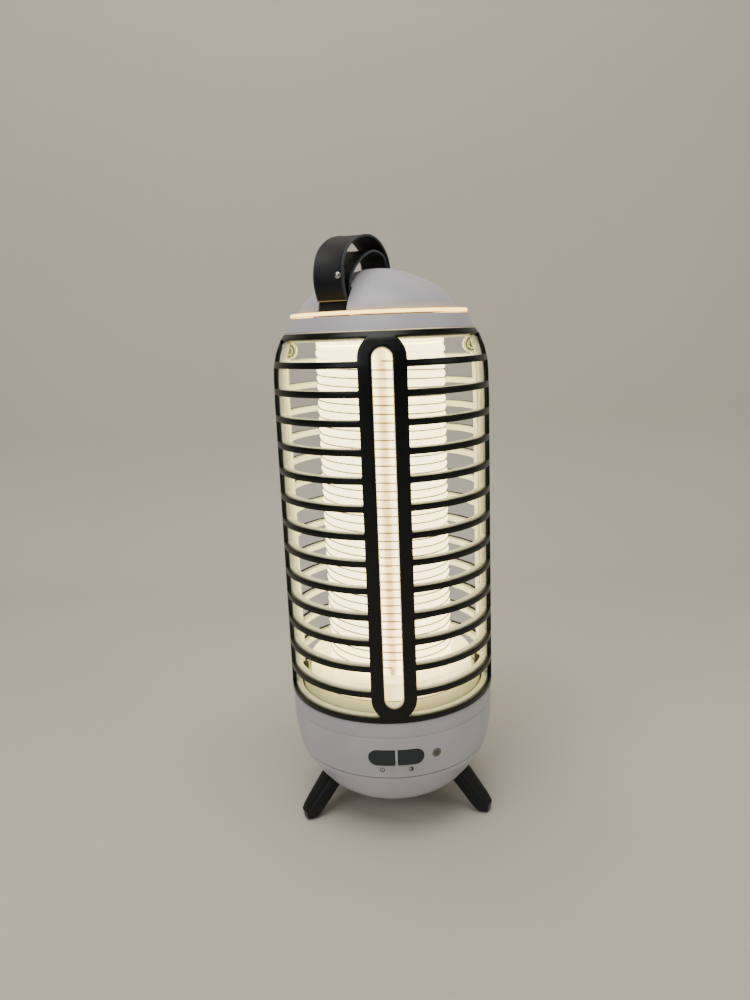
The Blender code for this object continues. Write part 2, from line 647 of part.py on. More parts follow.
def make_base_shell():
    outline = millimetres(BASE)
    inner = [(r - BASE_WALL, z) for r, z in outline]
    shell = turned(outline + list(reversed(inner)))
    for side in (-1, 1):
        cut(shell, half_pill(side, BUTTON_DIVIDER / 2, BUTTON_REACH, BUTTON_HALF_HEIGHT, -FAR, -40 * MM))
    start = radial(SENSOR_ANGLE, 40 * MM, SENSOR_HEIGHT)
    end = radial(SENSOR_ANGLE, 60 * MM, SENSOR_HEIGHT)
    cut(shell, rod(SENSOR_RADIUS + GAP, start, end, sides=16))
    inlet = box((INLET_WIDTH + 2 * GAP, 20 * MM, INLET_TALL + 2 * GAP), (0, 50 * MM, INLET_HEIGHT))
    cut(shell, inlet)
    keep(shell, "base_shell", PLASTIC, 0.5)
    ring = turned(millimetres(TWIST_RING))
    keep(ring, "twist_ring", PLASTIC, 0.5)
    deck = turned(millimetres(BASE_DECK), closed=False)
    keep(deck, "base_deck", PLASTIC, 0.6)
    start, end = (radial(SENSOR_ANGLE, reach, SENSOR_HEIGHT) for reach in SENSOR_LENS_SPAN)
    keep(rod(SENSOR_RADIUS, start, end, sides=16), "sensor_lens", (0.12, 0.10, 0.09), 0.2)
    start, end = (radial(SENSOR_ANGLE, reach, SENSOR_HEIGHT) for reach in SENSOR_CELL_SPAN)
    keep(rod(SENSOR_CELL_RADIUS, start, end), "light_sensor", (0.5, 0.2, 0.1), 0.4)


def make_buttons():
    for side, name in ((-1, "button_power"), (1, "button_auto")):
        low = BUTTON_DIVIDER / 2 + BUTTON_CLEARANCE
        high = BUTTON_REACH - BUTTON_CLEARANCE
        half_height = BUTTON_HALF_HEIGHT - BUTTON_CLEARANCE
        button = half_pill(side, low, high, half_height, -FAR, -BUTTON_BACK)
        boolean(button, round_block(BUTTON_FACE_RADIUS, *BASE_FACE_SPAN), "INTERSECT")
        keep(button, name, DARK, 0.7)
    board = box((27 * MM, 1.6 * MM, 10 * MM), (0, -41.5 * MM, BUTTON_HEIGHT - 0.8 * MM))
    keep(board, "switch_board", BOARD, 0.5)
    switches = []
    for side in (-1, 1):
        x = side * SWITCH_PLACE
        body = box(SWITCH_BODY, (x, -SWITCH_CENTRE, BUTTON_HEIGHT))
        tip, root = ((x, -reach, BUTTON_HEIGHT) for reach in PLUNGER_SPAN)
        boolean(body, rod(PLUNGER_RADIUS, tip, root), "UNION")
        switches.append(body)
    keep(switches[0], "tact_switch_power", STEEL, 0.4, 1.0)
    keep(switches[1], "tact_switch_auto", STEEL, 0.4, 1.0)


def make_inlet():
    cover = box((INLET_WIDTH, INLET_COVER_DEPTH, INLET_TALL), (0, INLET_COVER_MIDDLE, INLET_HEIGHT))
    boolean(cover, round_block(INLET_COVER_FACE, *BASE_FACE_SPAN), "INTERSECT")
    keep(cover, "usb_cover", DARK, 0.7)
    socket = box(SOCKET, (0, SOCKET_MIDDLE, INLET_HEIGHT))
    cut(socket, box(SOCKET_MOUTH, (0, SOCKET_MOUTH_MIDDLE, INLET_HEIGHT)))
    keep(socket, "usb_socket", STEEL, 0.3, 1.0)
    board = box(CHARGE_BOARD, (0, CHARGE_BOARD_MIDDLE, INLET_HEIGHT - CHARGE_BOARD_DROP))
    keep(board, "charge_board", BOARD, 0.5)


def make_electronics():
    keep(box(MAIN_BOARD, MAIN_BOARD_MIDDLE), "main_board", BOARD, 0.5)
    keep(box(TRANSFORMER, TRANSFORMER_MIDDLE), "hv_transformer", TAPE, 0.5)
    capacitor = rod(CAPACITOR_RADIUS, CAPACITOR_FOOT, CAPACITOR_HEAD, sides=CELL_SIDES)
    keep(capacitor, "hv_capacitor", SLEEVE, 0.4)
    holder = box(HOLDER, HOLDER_MIDDLE)
    for end in (-1, 1):
        centre = (end * HOLDER_END_PLACE, HOLDER_MIDDLE[1], HOLDER_END_HEIGHT)
        boolean(holder, box(HOLDER_END, centre), "UNION")
    keep(holder, "battery_holder", BLACK, 0.6)
    for i, y in enumerate(CELL_ROWS):
        cell = rod(CELL_RADIUS, (-CELL_REACH, y, CELL_HEIGHT), (CELL_REACH, y, CELL_HEIGHT), sides=CELL_SIDES)
        keep(cell, "battery_cell_%d" % (i + 1), WRAP, 0.4)


def leg_frame(angle):
    """Unit vectors of a leg: outwards, and along its hinge pin."""
    return radial(angle, 1.0, 0), Vector((cos(angle), sin(angle), 0))


def leg_pivot(angle):
    return radial(angle, LEG_PIVOT[0], LEG_PIVOT[1])


def leg_back(height):
    """How far out the open leg's upper side is at a height, with its clearance."""
    run, drop = LEG_FOOT[0] - LEG_PIVOT[0], LEG_PIVOT[1] - LEG_FOOT[1]
    length = sqrt(run ** 2 + drop ** 2)
    beyond = LEG_FOOT_RADIUS + LEG_WELL_CLEARANCE
    start = (LEG_PIVOT[0] + beyond * drop / length, LEG_PIVOT[1] + beyond * run / length)
    return start[0] + (start[1] - height) * run / drop


def leg_well(angle):
    """The slot in the bowl that the leg swings through."""
    outwards, pin = leg_frame(angle)
    bm = bmesh.new()
    bmesh.ops.create_cube(bm, size=1.0)
    for vertex in bm.verts:
        far = vertex.co.x > 0
        width = (LEG_HEAD_WIDTH if far else LEG_FOOT_WIDTH) + 2 * LEG_WELL_CLEARANCE
        height = LEG_WELL_HIGH if vertex.co.z > 0 else LEG_WELL_LOW
        reach = leg_back(height) if far else LEG_WELL_START
        vertex.co = outwards * reach + pin * width * vertex.co.y + Vector((0, 0, height))
    return from_bmesh("leg_well", bm)


def make_bowl():
    outline = millimetres(BOWL)
    inner = shifted(outline, BOWL_WALL)
    inner[0] = (outline[0][0] - BOWL_WALL, outline[0][1])
    floor = BOWL_FLOOR + BOWL_WALL
    inner = [(r, z) for r, z in inner if z > floor]
    inside = [(0, floor), (inner[-1][0] - BOWL_FILLET, floor)] + list(reversed(inner))
    profile = inside + outline + [(0, outline[-1][1])]
    bowl = turned(profile, closed=False)
    for angle in LEG_ANGLES.values():
        cut(bowl, leg_well(angle))
    for angle in SCREW_ANGLES:
        for radius, span in ((SCREW_HOLE_RADIUS, SCREW_HOLE), (SCREW_HEAD_RADIUS + GAP, SCREW_RECESS)):
            start, end = (radial(angle, SCREW_CIRCLE, height) for height in span)
            cut(bowl, rod(radius, start, end))
    keep(bowl, "bottom_cover", PLASTIC, 0.5)
    for i, angle in enumerate(SCREW_ANGLES):
        spans = (SCREW_HEAD_BOTTOM, SCREW_HEAD_TOP, SCREW_NECK, SCREW_TIP)
        low, high, root, tip = (radial(angle, SCREW_CIRCLE, height) for height in spans)
        screw = boolean(rod(SCREW_HEAD_RADIUS, low, high), rod(SCREW_SHANK_RADIUS, root, tip), "UNION")
        keep(screw, "base_screw_%d" % (i + 1), STEEL, 0.35, 1.0)


def make_chassis():
    plate = turned(millimetres(CHASSIS_PLATE), closed=False)
    for leg, angle in LEG_ANGLES.items():
        along = leg_frame(angle)[1]
        pivot = leg_pivot(angle)
        for side in (-1, 1):
            centre = pivot + along * side * CHASSIS_EAR_PLACE + Vector((0, 0, CHASSIS_EAR_RISE))
            boolean(plate, box(CHASSIS_EAR, centre, angle), "UNION")
        reach = along * LEG_BORE_REACH
        cut(plate, rod(LEG_PIN_RADIUS + GAP / 2, pivot - reach, pivot + reach))
        pin = rod(LEG_PIN_RADIUS, pivot - along * LEG_PIN_REACH, pivot + along * LEG_PIN_REACH)
        keep(pin, leg.replace("leg", "leg_pin"), STEEL, 0.3, 1.0)
    keep(plate, "chassis_plate", PLASTIC, 0.6)


def make_leg(name, angle):
    """A flat tapered leg: round at the pin and at the foot, with its origin on the pin."""
    along = leg_frame(angle)[1]
    pivot = leg_pivot(angle)
    foot = radial(angle, LEG_FOOT[0], LEG_FOOT[1])
    axis = (foot - pivot).normalized()
    side = along.cross(axis)
    bm = bmesh.new()
    rings = []
    for edge in (-1, 1):
        ring = []
        for i in range(LEG_SIDES):
            turn = tau * (i + 0.5) / LEG_SIDES
            at_foot = sin(turn) > 0
            centre = foot if at_foot else pivot
            radius = LEG_FOOT_RADIUS if at_foot else LEG_HEAD_RADIUS
            width = LEG_FOOT_WIDTH if at_foot else LEG_HEAD_WIDTH
            place = centre + (side * cos(turn) + axis * sin(turn)) * radius + along * edge * width / 2
            ring.append(bm.verts.new(place - pivot))
        rings.append(ring)
    bm.faces.new(rings[0])
    bm.faces.new(rings[1])
    for i in range(LEG_SIDES):
        j = (i + 1) % LEG_SIDES
        bm.faces.new((rings[0][i], rings[0][j], rings[1][j], rings[1][i]))
    bmesh.ops.recalc_face_normals(bm, faces=bm.faces)
    rim = [edge for edge in bm.edges if any(len(face.verts) > 4 for face in edge.link_faces)]
    bmesh.ops.bevel(bm, geom=rim, offset=LEG_EDGE, segments=2, profile=0.5, affect="EDGES",
                    clamp_overlap=True)
    lower = Vector((0, 0, -pivot.z))
    everything = bm.verts[:] + bm.edges[:] + bm.faces[:]
    bmesh.ops.bisect_plane(bm, geom=everything, plane_co=lower, plane_no=(0, 0, -1), clear_outer=True)
    bmesh.ops.holes_fill(bm, edges=bm.edges)
    leg = from_bmesh(name, bm)
    leg.location = pivot
    bore = rod(LEG_PIN_RADIUS + GAP, pivot - along * LEG_BORE_REACH, pivot + along * LEG_BORE_REACH)
    cut(leg, bore)
    keep(leg, name, DARK, 0.45)


clear_scene()
PARTS = new_collection("bug_zapper")
CUTTERS = new_collection("bug_zapper_cutters")
make_cages()
make_dome()
make_strap()
make_head_rings()
make_core()
make_base_shell()
make_buttons()
make_inlet()
make_electronics()
make_bowl()
make_chassis()
for leg_name, leg_angle in LEG_ANGLES.items():
    make_leg(leg_name, leg_angle)
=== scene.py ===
"""The looks of a portable bug zapper: a caged glowing column, a strap-topped cap, a bowl base on legs.

Metres, +Z up. The axis of the lantern is the Z axis, and its buttons face -Y.
"""
import json
from math import asin, copysign, cos, pi, radians, sin, sqrt, tau

import bmesh
import bpy
from mathutils import Matrix, Vector


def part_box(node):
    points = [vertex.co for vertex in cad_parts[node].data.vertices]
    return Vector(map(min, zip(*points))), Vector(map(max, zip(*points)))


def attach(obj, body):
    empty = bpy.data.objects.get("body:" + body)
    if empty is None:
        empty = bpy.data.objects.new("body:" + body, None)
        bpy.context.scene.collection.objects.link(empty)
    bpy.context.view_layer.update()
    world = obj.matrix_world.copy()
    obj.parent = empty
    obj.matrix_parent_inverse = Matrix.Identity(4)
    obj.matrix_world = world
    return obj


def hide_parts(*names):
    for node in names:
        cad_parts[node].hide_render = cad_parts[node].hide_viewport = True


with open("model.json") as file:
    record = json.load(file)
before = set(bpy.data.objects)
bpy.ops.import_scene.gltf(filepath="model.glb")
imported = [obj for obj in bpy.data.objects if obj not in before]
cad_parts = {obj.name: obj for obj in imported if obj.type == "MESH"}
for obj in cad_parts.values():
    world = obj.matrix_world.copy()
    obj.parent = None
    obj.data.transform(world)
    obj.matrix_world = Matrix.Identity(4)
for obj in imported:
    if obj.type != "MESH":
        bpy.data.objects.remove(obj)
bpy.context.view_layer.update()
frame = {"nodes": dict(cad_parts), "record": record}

MM = 0.001
ROUND = 160                         # steps round a turned piece
CLOSE = 1e-6                        # points nearer than this are one
SLIVER = 0.02 * MM                  # faces narrower than this are closed up

# Cage: bands, hoops and ribs, as the frame's cage has them
CAGE_WALL = 1.6 * MM
LINER_INSET = 2.1 * MM
LINER_WALL = 3.0 * MM
BAND_TOP = 244.4 * MM
TOP_BAND_LOW = 241.9 * MM
FIRST_HOOP = 243.1 * MM
HOOP_PITCH = 12.64 * MM
HOOP_HALF = 1.5 * MM
HOOPS = 13
BOTTOM_BAND_TOP = 67.5 * MM
BAND_LOW = 64.6 * MM
RIB_HALF = 10.8 * MM
RIB_NECK = 6.2 * MM
SLOT_HALF = 4.6 * MM
SLOT_TIP = 0.6 * MM
RIB_HIGH = 233.2 * MM
RIB_LOW = 76.4 * MM
END_STEPS = 9                       # steps round a rib's or a slot's end
RIB_STEPS = 4                       # columns of faces in half a rib, in a slot and in a window
SLOT_STEPS = 6
WINDOW_STEPS = 30
ROW_ROOM = 0.25 * MM
BOSS_PLACE = (43.9 * MM, -5.0 * MM, 236.6 * MM)
BOSS_DEPTH = 6.0 * MM
CLIP_PLACE = (45.0 * MM, -3.0 * MM)
CLIP_HEIGHTS = (69.8 * MM, 76.0 * MM)
CLIP_RADIUS = 1.5 * MM
SHOULDER = [(46.0, 244.4), (48.1, 241.4), (50.4, 235.7), (51.8, 229.9), (52.2, 224.1), (52.45, 212.0),
            (52.45, 64.6)]

# Head
DOME = [(0, 273.4), (6.6, 272.9), (13.1, 271.4), (19.0, 269.1), (25.4, 266.2), (30.5, 263.1),
        (34.9, 259.3), (37.4, 256.4), (38.8, 253.8)]
DOME_WALL = 3.0 * MM
DOME_EDGE = 0.5 * MM
FRONT_NOTCH = -26.0 * MM            # along the strap, and open from here through the rim
REAR_SLOT = (25.6 * MM, 33.8 * MM)
SLOT_HALF_WIDTH = 7.5 * MM

# Strap, in an upright plane turned from the Y axis
STRAP_TURN = radians(-18.4)
STRAP_OFFSET = -10.5 * MM
PIN_HEIGHT = 251.6 * MM
PINS = (-30.0 * MM, 29.5 * MM)
PIN_TURN = 2.15 * MM
OUTER_LOOP = [(-31.6, 257), (-35.3, 263), (-36, 269), (-33.2, 276), (-26.5, 281.5), (-15, 286), (-2, 288.4),
              (9, 288.8), (20, 287), (29.5, 282.8), (34, 278.3), (35, 273), (32.6, 264), (30.9, 257)]
INNER_LOOP = [(27.7, 257), (30, 266), (30.6, 273), (28.8, 278.4), (23.5, 281.4), (12, 282.4), (3, 281.2),
              (-10, 277.2), (-21, 271.5), (-26.6, 266), (-28.2, 257)]
PLY_STEP = 1.15 * MM                # the lower ply lies this far inside the upper one
STRAP_END = 257.6 * MM              # height of the upper ply's cut end
LOWER_PLY_TOP = 272.0 * MM
# Half of the band's section, across and through it: rolled rims and a thinner middle
STRAP_SECTION = [(-7.0, 0.25), (-6.85, 0.48), (-6.5, 0.55), (-6.1, 0.52), (-5.7, 0.36), (5.7, 0.36),
                 (6.1, 0.52), (6.5, 0.55), (6.85, 0.48), (7.0, 0.25)]

# Core
COLUMN_RADIUS = 31.4 * MM
COLUMN_GROOVE = 0.95 * MM
COLUMN_AROUND, COLUMN_UP = 144, 400  # faces round the column and up it
GROOVE_POWER = 0.8                  # below 1, the ridges are broad and the grooves narrow
COLUMN_CAP = 31.0 * MM
COLUMN_TOP = 238.0 * MM
COLUMN_LOW = 79.8 * MM
WIRE_RADIUS = 0.28 * MM
WIRE_COIL = 31.2 * MM
WIRE_LOW = 83.0 * MM
WIRE_LEAD = 8.0 * MM
WIRE_TURNS = 18.5
WIRE_STEPS = 40

# Base
BASE = [(52.0, 56.4), (51.8, 50), (51.3, 44), (50.4, 38.8), (49.6, 34.9)]
BASE_SEAM = (52.0, 56.7)            # the base's top edge, close up to the twist ring
BASE_WALL = 2.2 * MM
BOWL = [(49.3, 34.4), (48.3, 31.6), (46.0, 28), (42.9, 23), (39.0, 18), (34.4, 14), (29.6, 11.4), (26, 10.4)]
BOWL_WALL = 2.4 * MM
BUTTON_Z = 46.5 * MM
BUTTON_TALL = 4.2 * MM
BUTTON_REACH = 13.4 * MM
BUTTON_DIVIDER = 0.6 * MM
BUTTON_GAP = 0.3 * MM
BUTTON_FACE = 51.8 * MM
BUTTON_BACK = 46.8 * MM
SENSOR_TURN = radians(22.2)
SENSOR_Z = 46.4 * MM
SENSOR_RADIUS = 2.25 * MM
INLET_Z = 44.0 * MM
SCREW_CIRCLE = 20.0 * MM

# Legs
LEGS = {"leg_front_left": radians(-60), "leg_front_right": radians(60), "leg_rear": radians(180)}
LEG_PIVOT = (33.4 * MM, 24.9 * MM)
LEG_FOOT = (51.5 * MM, 3.8 * MM)
LEG_RADII = (3.7 * MM, 4.0 * MM)
LEG_WIDTHS = (13.0 * MM, 8.6 * MM)
LEG_ROOM = 0.8 * MM
TOE_START = 0.62                    # share of the leg's length where its toe starts to round
TOE_CUT, TOE_POWER = 0.72, 3.2      # how far and how suddenly the toe narrows
LEG_SQUARE = 0.42                   # 1 gives the leg a round section, and less a boxier one
LEG_TIP = 0.12                      # the thickness left at its very ends, as a share
LEG_SLICES, LEG_SIDES = 14, 40


# Camera
LENS = 28.18                        # millimetres, the one value here that isn't in metres
CAMERA_PLACE = (-5.33 * MM, -388.13 * MM, 243.67 * MM)
CAMERA_DOWN = radians(12.076)
CAMERA_ROLL = radians(-2.263)

# Settings that many nodes share
SMOOTH = {"interpolation_type": "SMOOTHSTEP"}
COLOURS = {"data_type": "RGBA"}
TIMES = {"operation": "MULTIPLY"}
SIZE_OF = {"operation": "ABSOLUTE"}


# ---------------------------------------------------------------- node and material helpers

def linear(hex_colour):
    """An sRGB hex colour as linear RGBA."""
    values = [int(hex_colour[i:i + 2], 16) / 255 for i in (0, 2, 4)]
    return [v / 12.92 if v <= 0.04045 else ((v + 0.055) / 1.055) ** 2.4 for v in values] + [1.0]


def per(size_mm):
    """The texture scale at which a pattern repeats about every so many millimetres."""
    return 1 / (size_mm * MM)


def add(tree, kind, inputs, settings=None, out=0):
    """Adds a shader node with its settings, and its inputs as values, hex colours or links, by their
    name or number. Returns the output that is asked for."""
    made = tree.nodes.new("ShaderNode" + kind)
    for name, value in (settings or {}).items():
        setattr(made, name, value)
    for name, value in inputs.items():
        if isinstance(value, bpy.types.NodeSocket):
            tree.links.new(value, made.inputs[name])
        else:
            made.inputs[name].default_value = linear(value) if isinstance(value, str) else value
    return made.outputs[out]


def surface(name, roughness=0.5, **sockets):
    """A new material with the constants on its shader's own sockets, its tree, and Object coordinates."""
    material = bpy.data.materials.new(name)
    material.use_nodes = True
    tree = material.node_tree
    shader = tree.nodes["Principled BSDF"]
    for socket, value in {"Roughness": roughness, **sockets}.items():
        value = linear(value) if isinstance(value, str) else value
        shader.inputs[socket.replace("_", " ")].default_value = value
    return material, tree, add(tree, "TexCoord", {}, out="Object")


def driven(material, sources):
    """The material, with its shader's inputs linked to what varies over the surface."""
    shader = material.node_tree.nodes["Principled BSDF"]
    for name, source in sources.items():
        material.node_tree.links.new(source, shader.inputs[name])
    return material


def moulded(name, colour, shade, roughness, grain_mm, depth_mm, spread=0.06, **sockets):
    """Injection-moulded plastic: slow drifts of tone, and the fine spark-eroded grain of the tool."""
    material, tree, place = surface(name, roughness, **sockets)
    tone = add(tree, "TexNoise", {"Vector": place, "Scale": per(26.0), "Detail": 3.0})
    drift = add(tree, "MapRange", {0: tone, 1: 0.3, 2: 0.7}, SMOOTH)
    grain = add(tree, "TexNoise", {"Vector": place, "Scale": per(grain_mm), "Detail": 4.0})
    limits = {3: roughness - spread, 4: roughness + spread}
    return driven(material, {
        "Base Color": add(tree, "Mix", {0: drift, 6: colour, 7: shade}, COLOURS, 2),
        "Roughness": add(tree, "MapRange", {0: grain, 1: 0.3, 2: 0.7, **limits}, SMOOTH),
        "Normal": add(tree, "Bump", {"Height": grain, "Distance": depth_mm * MM})})


# ---------------------------------------------------------------- materials

def casing_abs():
    """Matte ABS in a cool lavender grey: a soft, wide highlight, and a fine grain close up."""
    return moulded("matte_moulded_abs_lavender_grey", "C9C9D0", "C1C1CA", 0.38, 0.45, 0.02)


def cage_abs():
    """Semi-gloss black ABS: sharper highlights along the hoops, over an almost smooth skin."""
    return moulded("semi_gloss_black_abs", "030607", "060A0A", 0.34, 0.9, 0.012, 0.05,
                   Specular_IOR_Level=0.32)


def liner_plastic():
    """Milky polypropylene: pale and satin, it picks up the glow of the core, and lets a little through."""
    return moulded("milky_satin_polypropylene", "E6EBDD", "DCE3D0", 0.34, 1.2, 0.012,
                   Subsurface_Weight=0.15, Subsurface_Scale=0.004)


def tray_plastic():
    """Pale polypropylene of the insect tray, a little yellower and dustier than the liner."""
    return moulded("satin_polypropylene_tray", "E6E9D8", "DADFC8", 0.42, 1.0, 0.015)


def leg_plastic():
    """Near-black blue nylon: satin, with a fine sand-like grain that catches a dull edge."""
    return moulded("satin_glass_filled_nylon", "080C10", "0E1319", 0.42, 0.5, 0.03, 0.08,
                   Specular_IOR_Level=0.35)


def clip_plastic():
    """Matte black polypropylene of the liner's clips and the cell holder: almost no highlight."""
    return moulded("matte_black_polypropylene", "0B0C0D", "101112", 0.62, 0.7, 0.02)


def inner_plastic():
    """Plain natural ABS of the hidden decks and plates, unpolished from the tool."""
    return moulded("natural_abs_inner", "B4B2AE", "A9A7A2", 0.55, 0.8, 0.02)


def glowing_column():
    """Frosted acrylic lit from inside: pale yellow, with a warm stripe down each quarter where the
    lamps shine through, and painted shade that dims its glow in its grooves."""
    material, tree, place = surface("frosted_lit_acrylic", 0.35, Base_Color="F4EFDC")
    sides = [add(tree, "SeparateXYZ", {"Vector": place}, out=axis) for axis in (0, 1)]
    from_planes = [add(tree, "Math", {0: side}, SIZE_OF) for side in sides]
    across = add(tree, "Math", {0: from_planes[0], 1: from_planes[1]}, {"operation": "MINIMUM"})
    stripe = add(tree, "MapRange", {0: across, 1: 0.5 * MM, 2: 3.4 * MM, 3: 1.0, 4: 0.0}, SMOOTH)
    mottle = add(tree, "TexNoise", {"Vector": place, "Scale": per(9.0), "Detail": 2.0})
    patchy = add(tree, "MapRange", {0: mottle, 1: 0.2, 2: 0.6, 3: 0.6, 4: 1.0}, SMOOTH)
    warm = add(tree, "Math", {0: stripe, 1: patchy}, TIMES)
    flat = add(tree, "VectorMath", {0: place, 1: (1, 1, 0)}, TIMES)
    reach = add(tree, "VectorMath", {0: flat}, {"operation": "LENGTH"}, "Value")
    # Painted shade: the glow is 1 at the ridge tops and falls to 0.72 at the groove floors
    deep, proud = COLUMN_RADIUS - COLUMN_GROOVE, COLUMN_RADIUS - 0.2 * MM
    painted_groove_shade = add(tree, "MapRange", {0: reach, 1: deep, 2: proud, 3: 0.72, 4: 1.0}, SMOOTH)
    dimmed = add(tree, "Math", {0: warm, 1: 0.5}, TIMES)
    clear = add(tree, "Math", {0: 1.0, 1: dimmed}, {"operation": "SUBTRACT"})
    lit = add(tree, "Math", {0: painted_groove_shade, 1: clear}, TIMES)
    glow = {0: warm, 6: "FFE9A6", 7: "F2B56A"}
    return driven(material, {
        "Emission Color": add(tree, "Mix", glow, COLOURS, 2),
        "Emission Strength": add(tree, "Math", {0: lit, 1: 5.0}, TIMES),
        "Normal": add(tree, "Bump", {"Height": mottle, "Distance": 0.05 * MM})})


def glowing_drum():
    """The lit plinth under the column: frosted acrylic, yellower and dimmer, with faint cloudy patches."""
    material, tree, place = surface("frosted_lit_acrylic_plinth", 0.4, Base_Color="EFE8CC")
    mist = add(tree, "TexNoise", {"Vector": place, "Scale": per(7.0), "Detail": 3.0})
    cloud = add(tree, "MapRange", {0: mist, 1: 0.3, 2: 0.7}, SMOOTH)
    return driven(material, {
        "Emission Color": add(tree, "Mix", {0: cloud, 6: "FFE6A0", 7: "F8D885"}, COLOURS, 2),
        "Emission Strength": add(tree, "MapRange", {0: cloud, 3: 2.6, 4: 2.0}, SMOOTH),
        "Normal": add(tree, "Bump", {"Height": cloud, "Distance": 0.05 * MM})})


def glowing_ring():
    """The light guide under the dome: yellow at its middle, and orange where it meets the plastic."""
    material, tree, place = surface("lit_light_guide", 0.3, Base_Color="FFF0C8")
    low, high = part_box("light_ring")
    height = add(tree, "SeparateXYZ", {"Vector": place}, out=2)
    above = add(tree, "Math", {0: height, 1: (low.z + high.z) / 2}, {"operation": "SUBTRACT"})
    off_middle = add(tree, "Math", {0: above}, SIZE_OF)
    rim = add(tree, "MapRange", {0: off_middle, 1: 0.45 * MM, 2: 1.0 * MM}, SMOOTH)
    ripple = add(tree, "TexNoise", {"Vector": place, "Scale": per(5.0), "Detail": 3.0})
    uneven = add(tree, "MapRange", {0: ripple, 1: 0.2, 2: 0.8, 3: 0.93, 4: 1.07}, SMOOTH)
    bright = add(tree, "MapRange", {0: rim, 3: 4.6, 4: 1.8}, SMOOTH)
    return driven(material, {
        "Emission Color": add(tree, "Mix", {0: rim, 6: "FFD566", 7: "F29A2E"}, COLOURS, 2),
        "Emission Strength": add(tree, "Math", {0: bright, 1: uneven}, TIMES)})


def lamp_chips():
    """The lamp post inside the column: white board with glowing phosphor, patchy from chip to chip."""
    material, tree, place = surface("phosphor_lamp_post", 0.5, Emission_Strength=1.5)
    chips = add(tree, "TexNoise", {"Vector": place, "Scale": per(12.0), "Detail": 3.0})
    patch = add(tree, "MapRange", {0: chips, 1: 0.4, 2: 0.6}, SMOOTH)
    return driven(material, {
        "Base Color": add(tree, "Mix", {0: patch, 6: "F3E7C4", 7: "EFD9A0"}, COLOURS, 2),
        "Emission Color": add(tree, "Mix", {0: patch, 6: "FFE9B0", 7: "FFDC90"}, COLOURS, 2)})


def metal(name, colour, shade, roughness, streak_mm, along):
    """Drawn or plated metal: streaks along one axis vary its roughness and catch thin lines of light."""
    material, tree, place = surface(name, roughness, Metallic=1.0)
    stretch = add(tree, "Mapping", {"Vector": place, "Scale": along})
    streak = add(tree, "TexNoise", {"Vector": stretch, "Scale": per(streak_mm), "Detail": 4.0})
    limits = {3: roughness - 0.08, 4: roughness + 0.1}
    return driven(material, {
        "Base Color": add(tree, "Mix", {0: streak, 6: colour, 7: shade}, COLOURS, 2),
        "Roughness": add(tree, "MapRange", {0: streak, 1: 0.3, 2: 0.7, **limits}, SMOOTH),
        "Normal": add(tree, "Bump", {"Height": streak, "Distance": 0.01 * MM})})


def drawn_wire():
    """Drawn stainless wire of the grid, dulled by heat to a brown grey, streaked along its drawing."""
    return metal("drawn_stainless_wire", "8C8272", "6F6557", 0.42, 1.2, (1.0, 1.0, 6.0))


def plated_steel():
    """Bright nickel-plated steel of pins, screws and contacts."""
    return metal("nickel_plated_steel", "C9C8C6", "A9A8A8", 0.24, 0.8, (1.0, 1.0, 0.3))


def webbing():
    """Tightly woven nylon tape: a twill of 0.9 mm steps, a dull blue sheen, rims painted lighter as a
    highlight and a pale glint painted at its cut end. Its own UV map says how far across and along the tape a
    point lies."""
    material, tree, _ = surface("woven_nylon_webbing", 0.5, Sheen_Weight=0.05, Sheen_Roughness=0.35,
                                Specular_IOR_Level=0.3, Sheen_Tint="8FA0B8")
    tape_map = add(tree, "TexCoord", {}, out="UV")
    across, along = (add(tree, "SeparateXYZ", {"Vector": tape_map}, out=axis) for axis in (0, 1))
    twill = 0.9 * MM
    both = add(tree, "Math", {0: across, 1: along}, {"operation": "ADD"})
    apart = add(tree, "Math", {0: along, 1: across}, {"operation": "SUBTRACT"})
    diagonal = add(tree, "Math", {0: both, 1: tau / twill}, TIMES)
    counter = add(tree, "Math", {0: apart, 1: tau / (twill * 2)}, TIMES)
    ribs, cross_ribs = (add(tree, "Math", {0: run}, {"operation": "SINE"}) for run in (diagonal, counter))
    fainter = add(tree, "Math", {0: cross_ribs, 1: 0.4}, TIMES)
    weave = add(tree, "Math", {0: ribs, 1: fainter}, {"operation": "ADD"})
    yarn = add(tree, "MapRange", {0: weave, 1: -1.0, 2: 1.0}, SMOOTH)
    from_middle = add(tree, "Math", {0: across}, SIZE_OF)
    # Painted highlight: the outer 0.8 mm of each rim is mixed towards a lighter grey (3C444D) below
    rim = add(tree, "MapRange", {0: from_middle, 1: 5.9 * MM, 2: 6.7 * MM}, SMOOTH)
    # Painted glint: the first 0.45 mm of the band from its cut end is made pale yellow (D8CFA8)
    cut_end_glint = add(tree, "MapRange", {0: along, 1: 0.0, 2: 0.45 * MM, 3: 1.0, 4: 0.0}, SMOOTH)
    tape = add(tree, "Mix", {0: yarn, 6: "07090C", 7: "10141B"}, COLOURS, 2)
    tape_with_rim_highlight = add(tree, "Mix", {0: rim, 6: tape, 7: "3C444D"}, COLOURS, 2)
    return driven(material, {
        "Base Color": add(tree, "Mix", {0: cut_end_glint, 6: tape_with_rim_highlight, 7: "D8CFA8"}, COLOURS, 2),
        "Roughness": add(tree, "MapRange", {0: yarn, 3: 0.56, 4: 0.42}, SMOOTH),
        "Normal": add(tree, "Bump", {"Height": weave, "Distance": 0.035 * MM, "Strength": 0.7})})


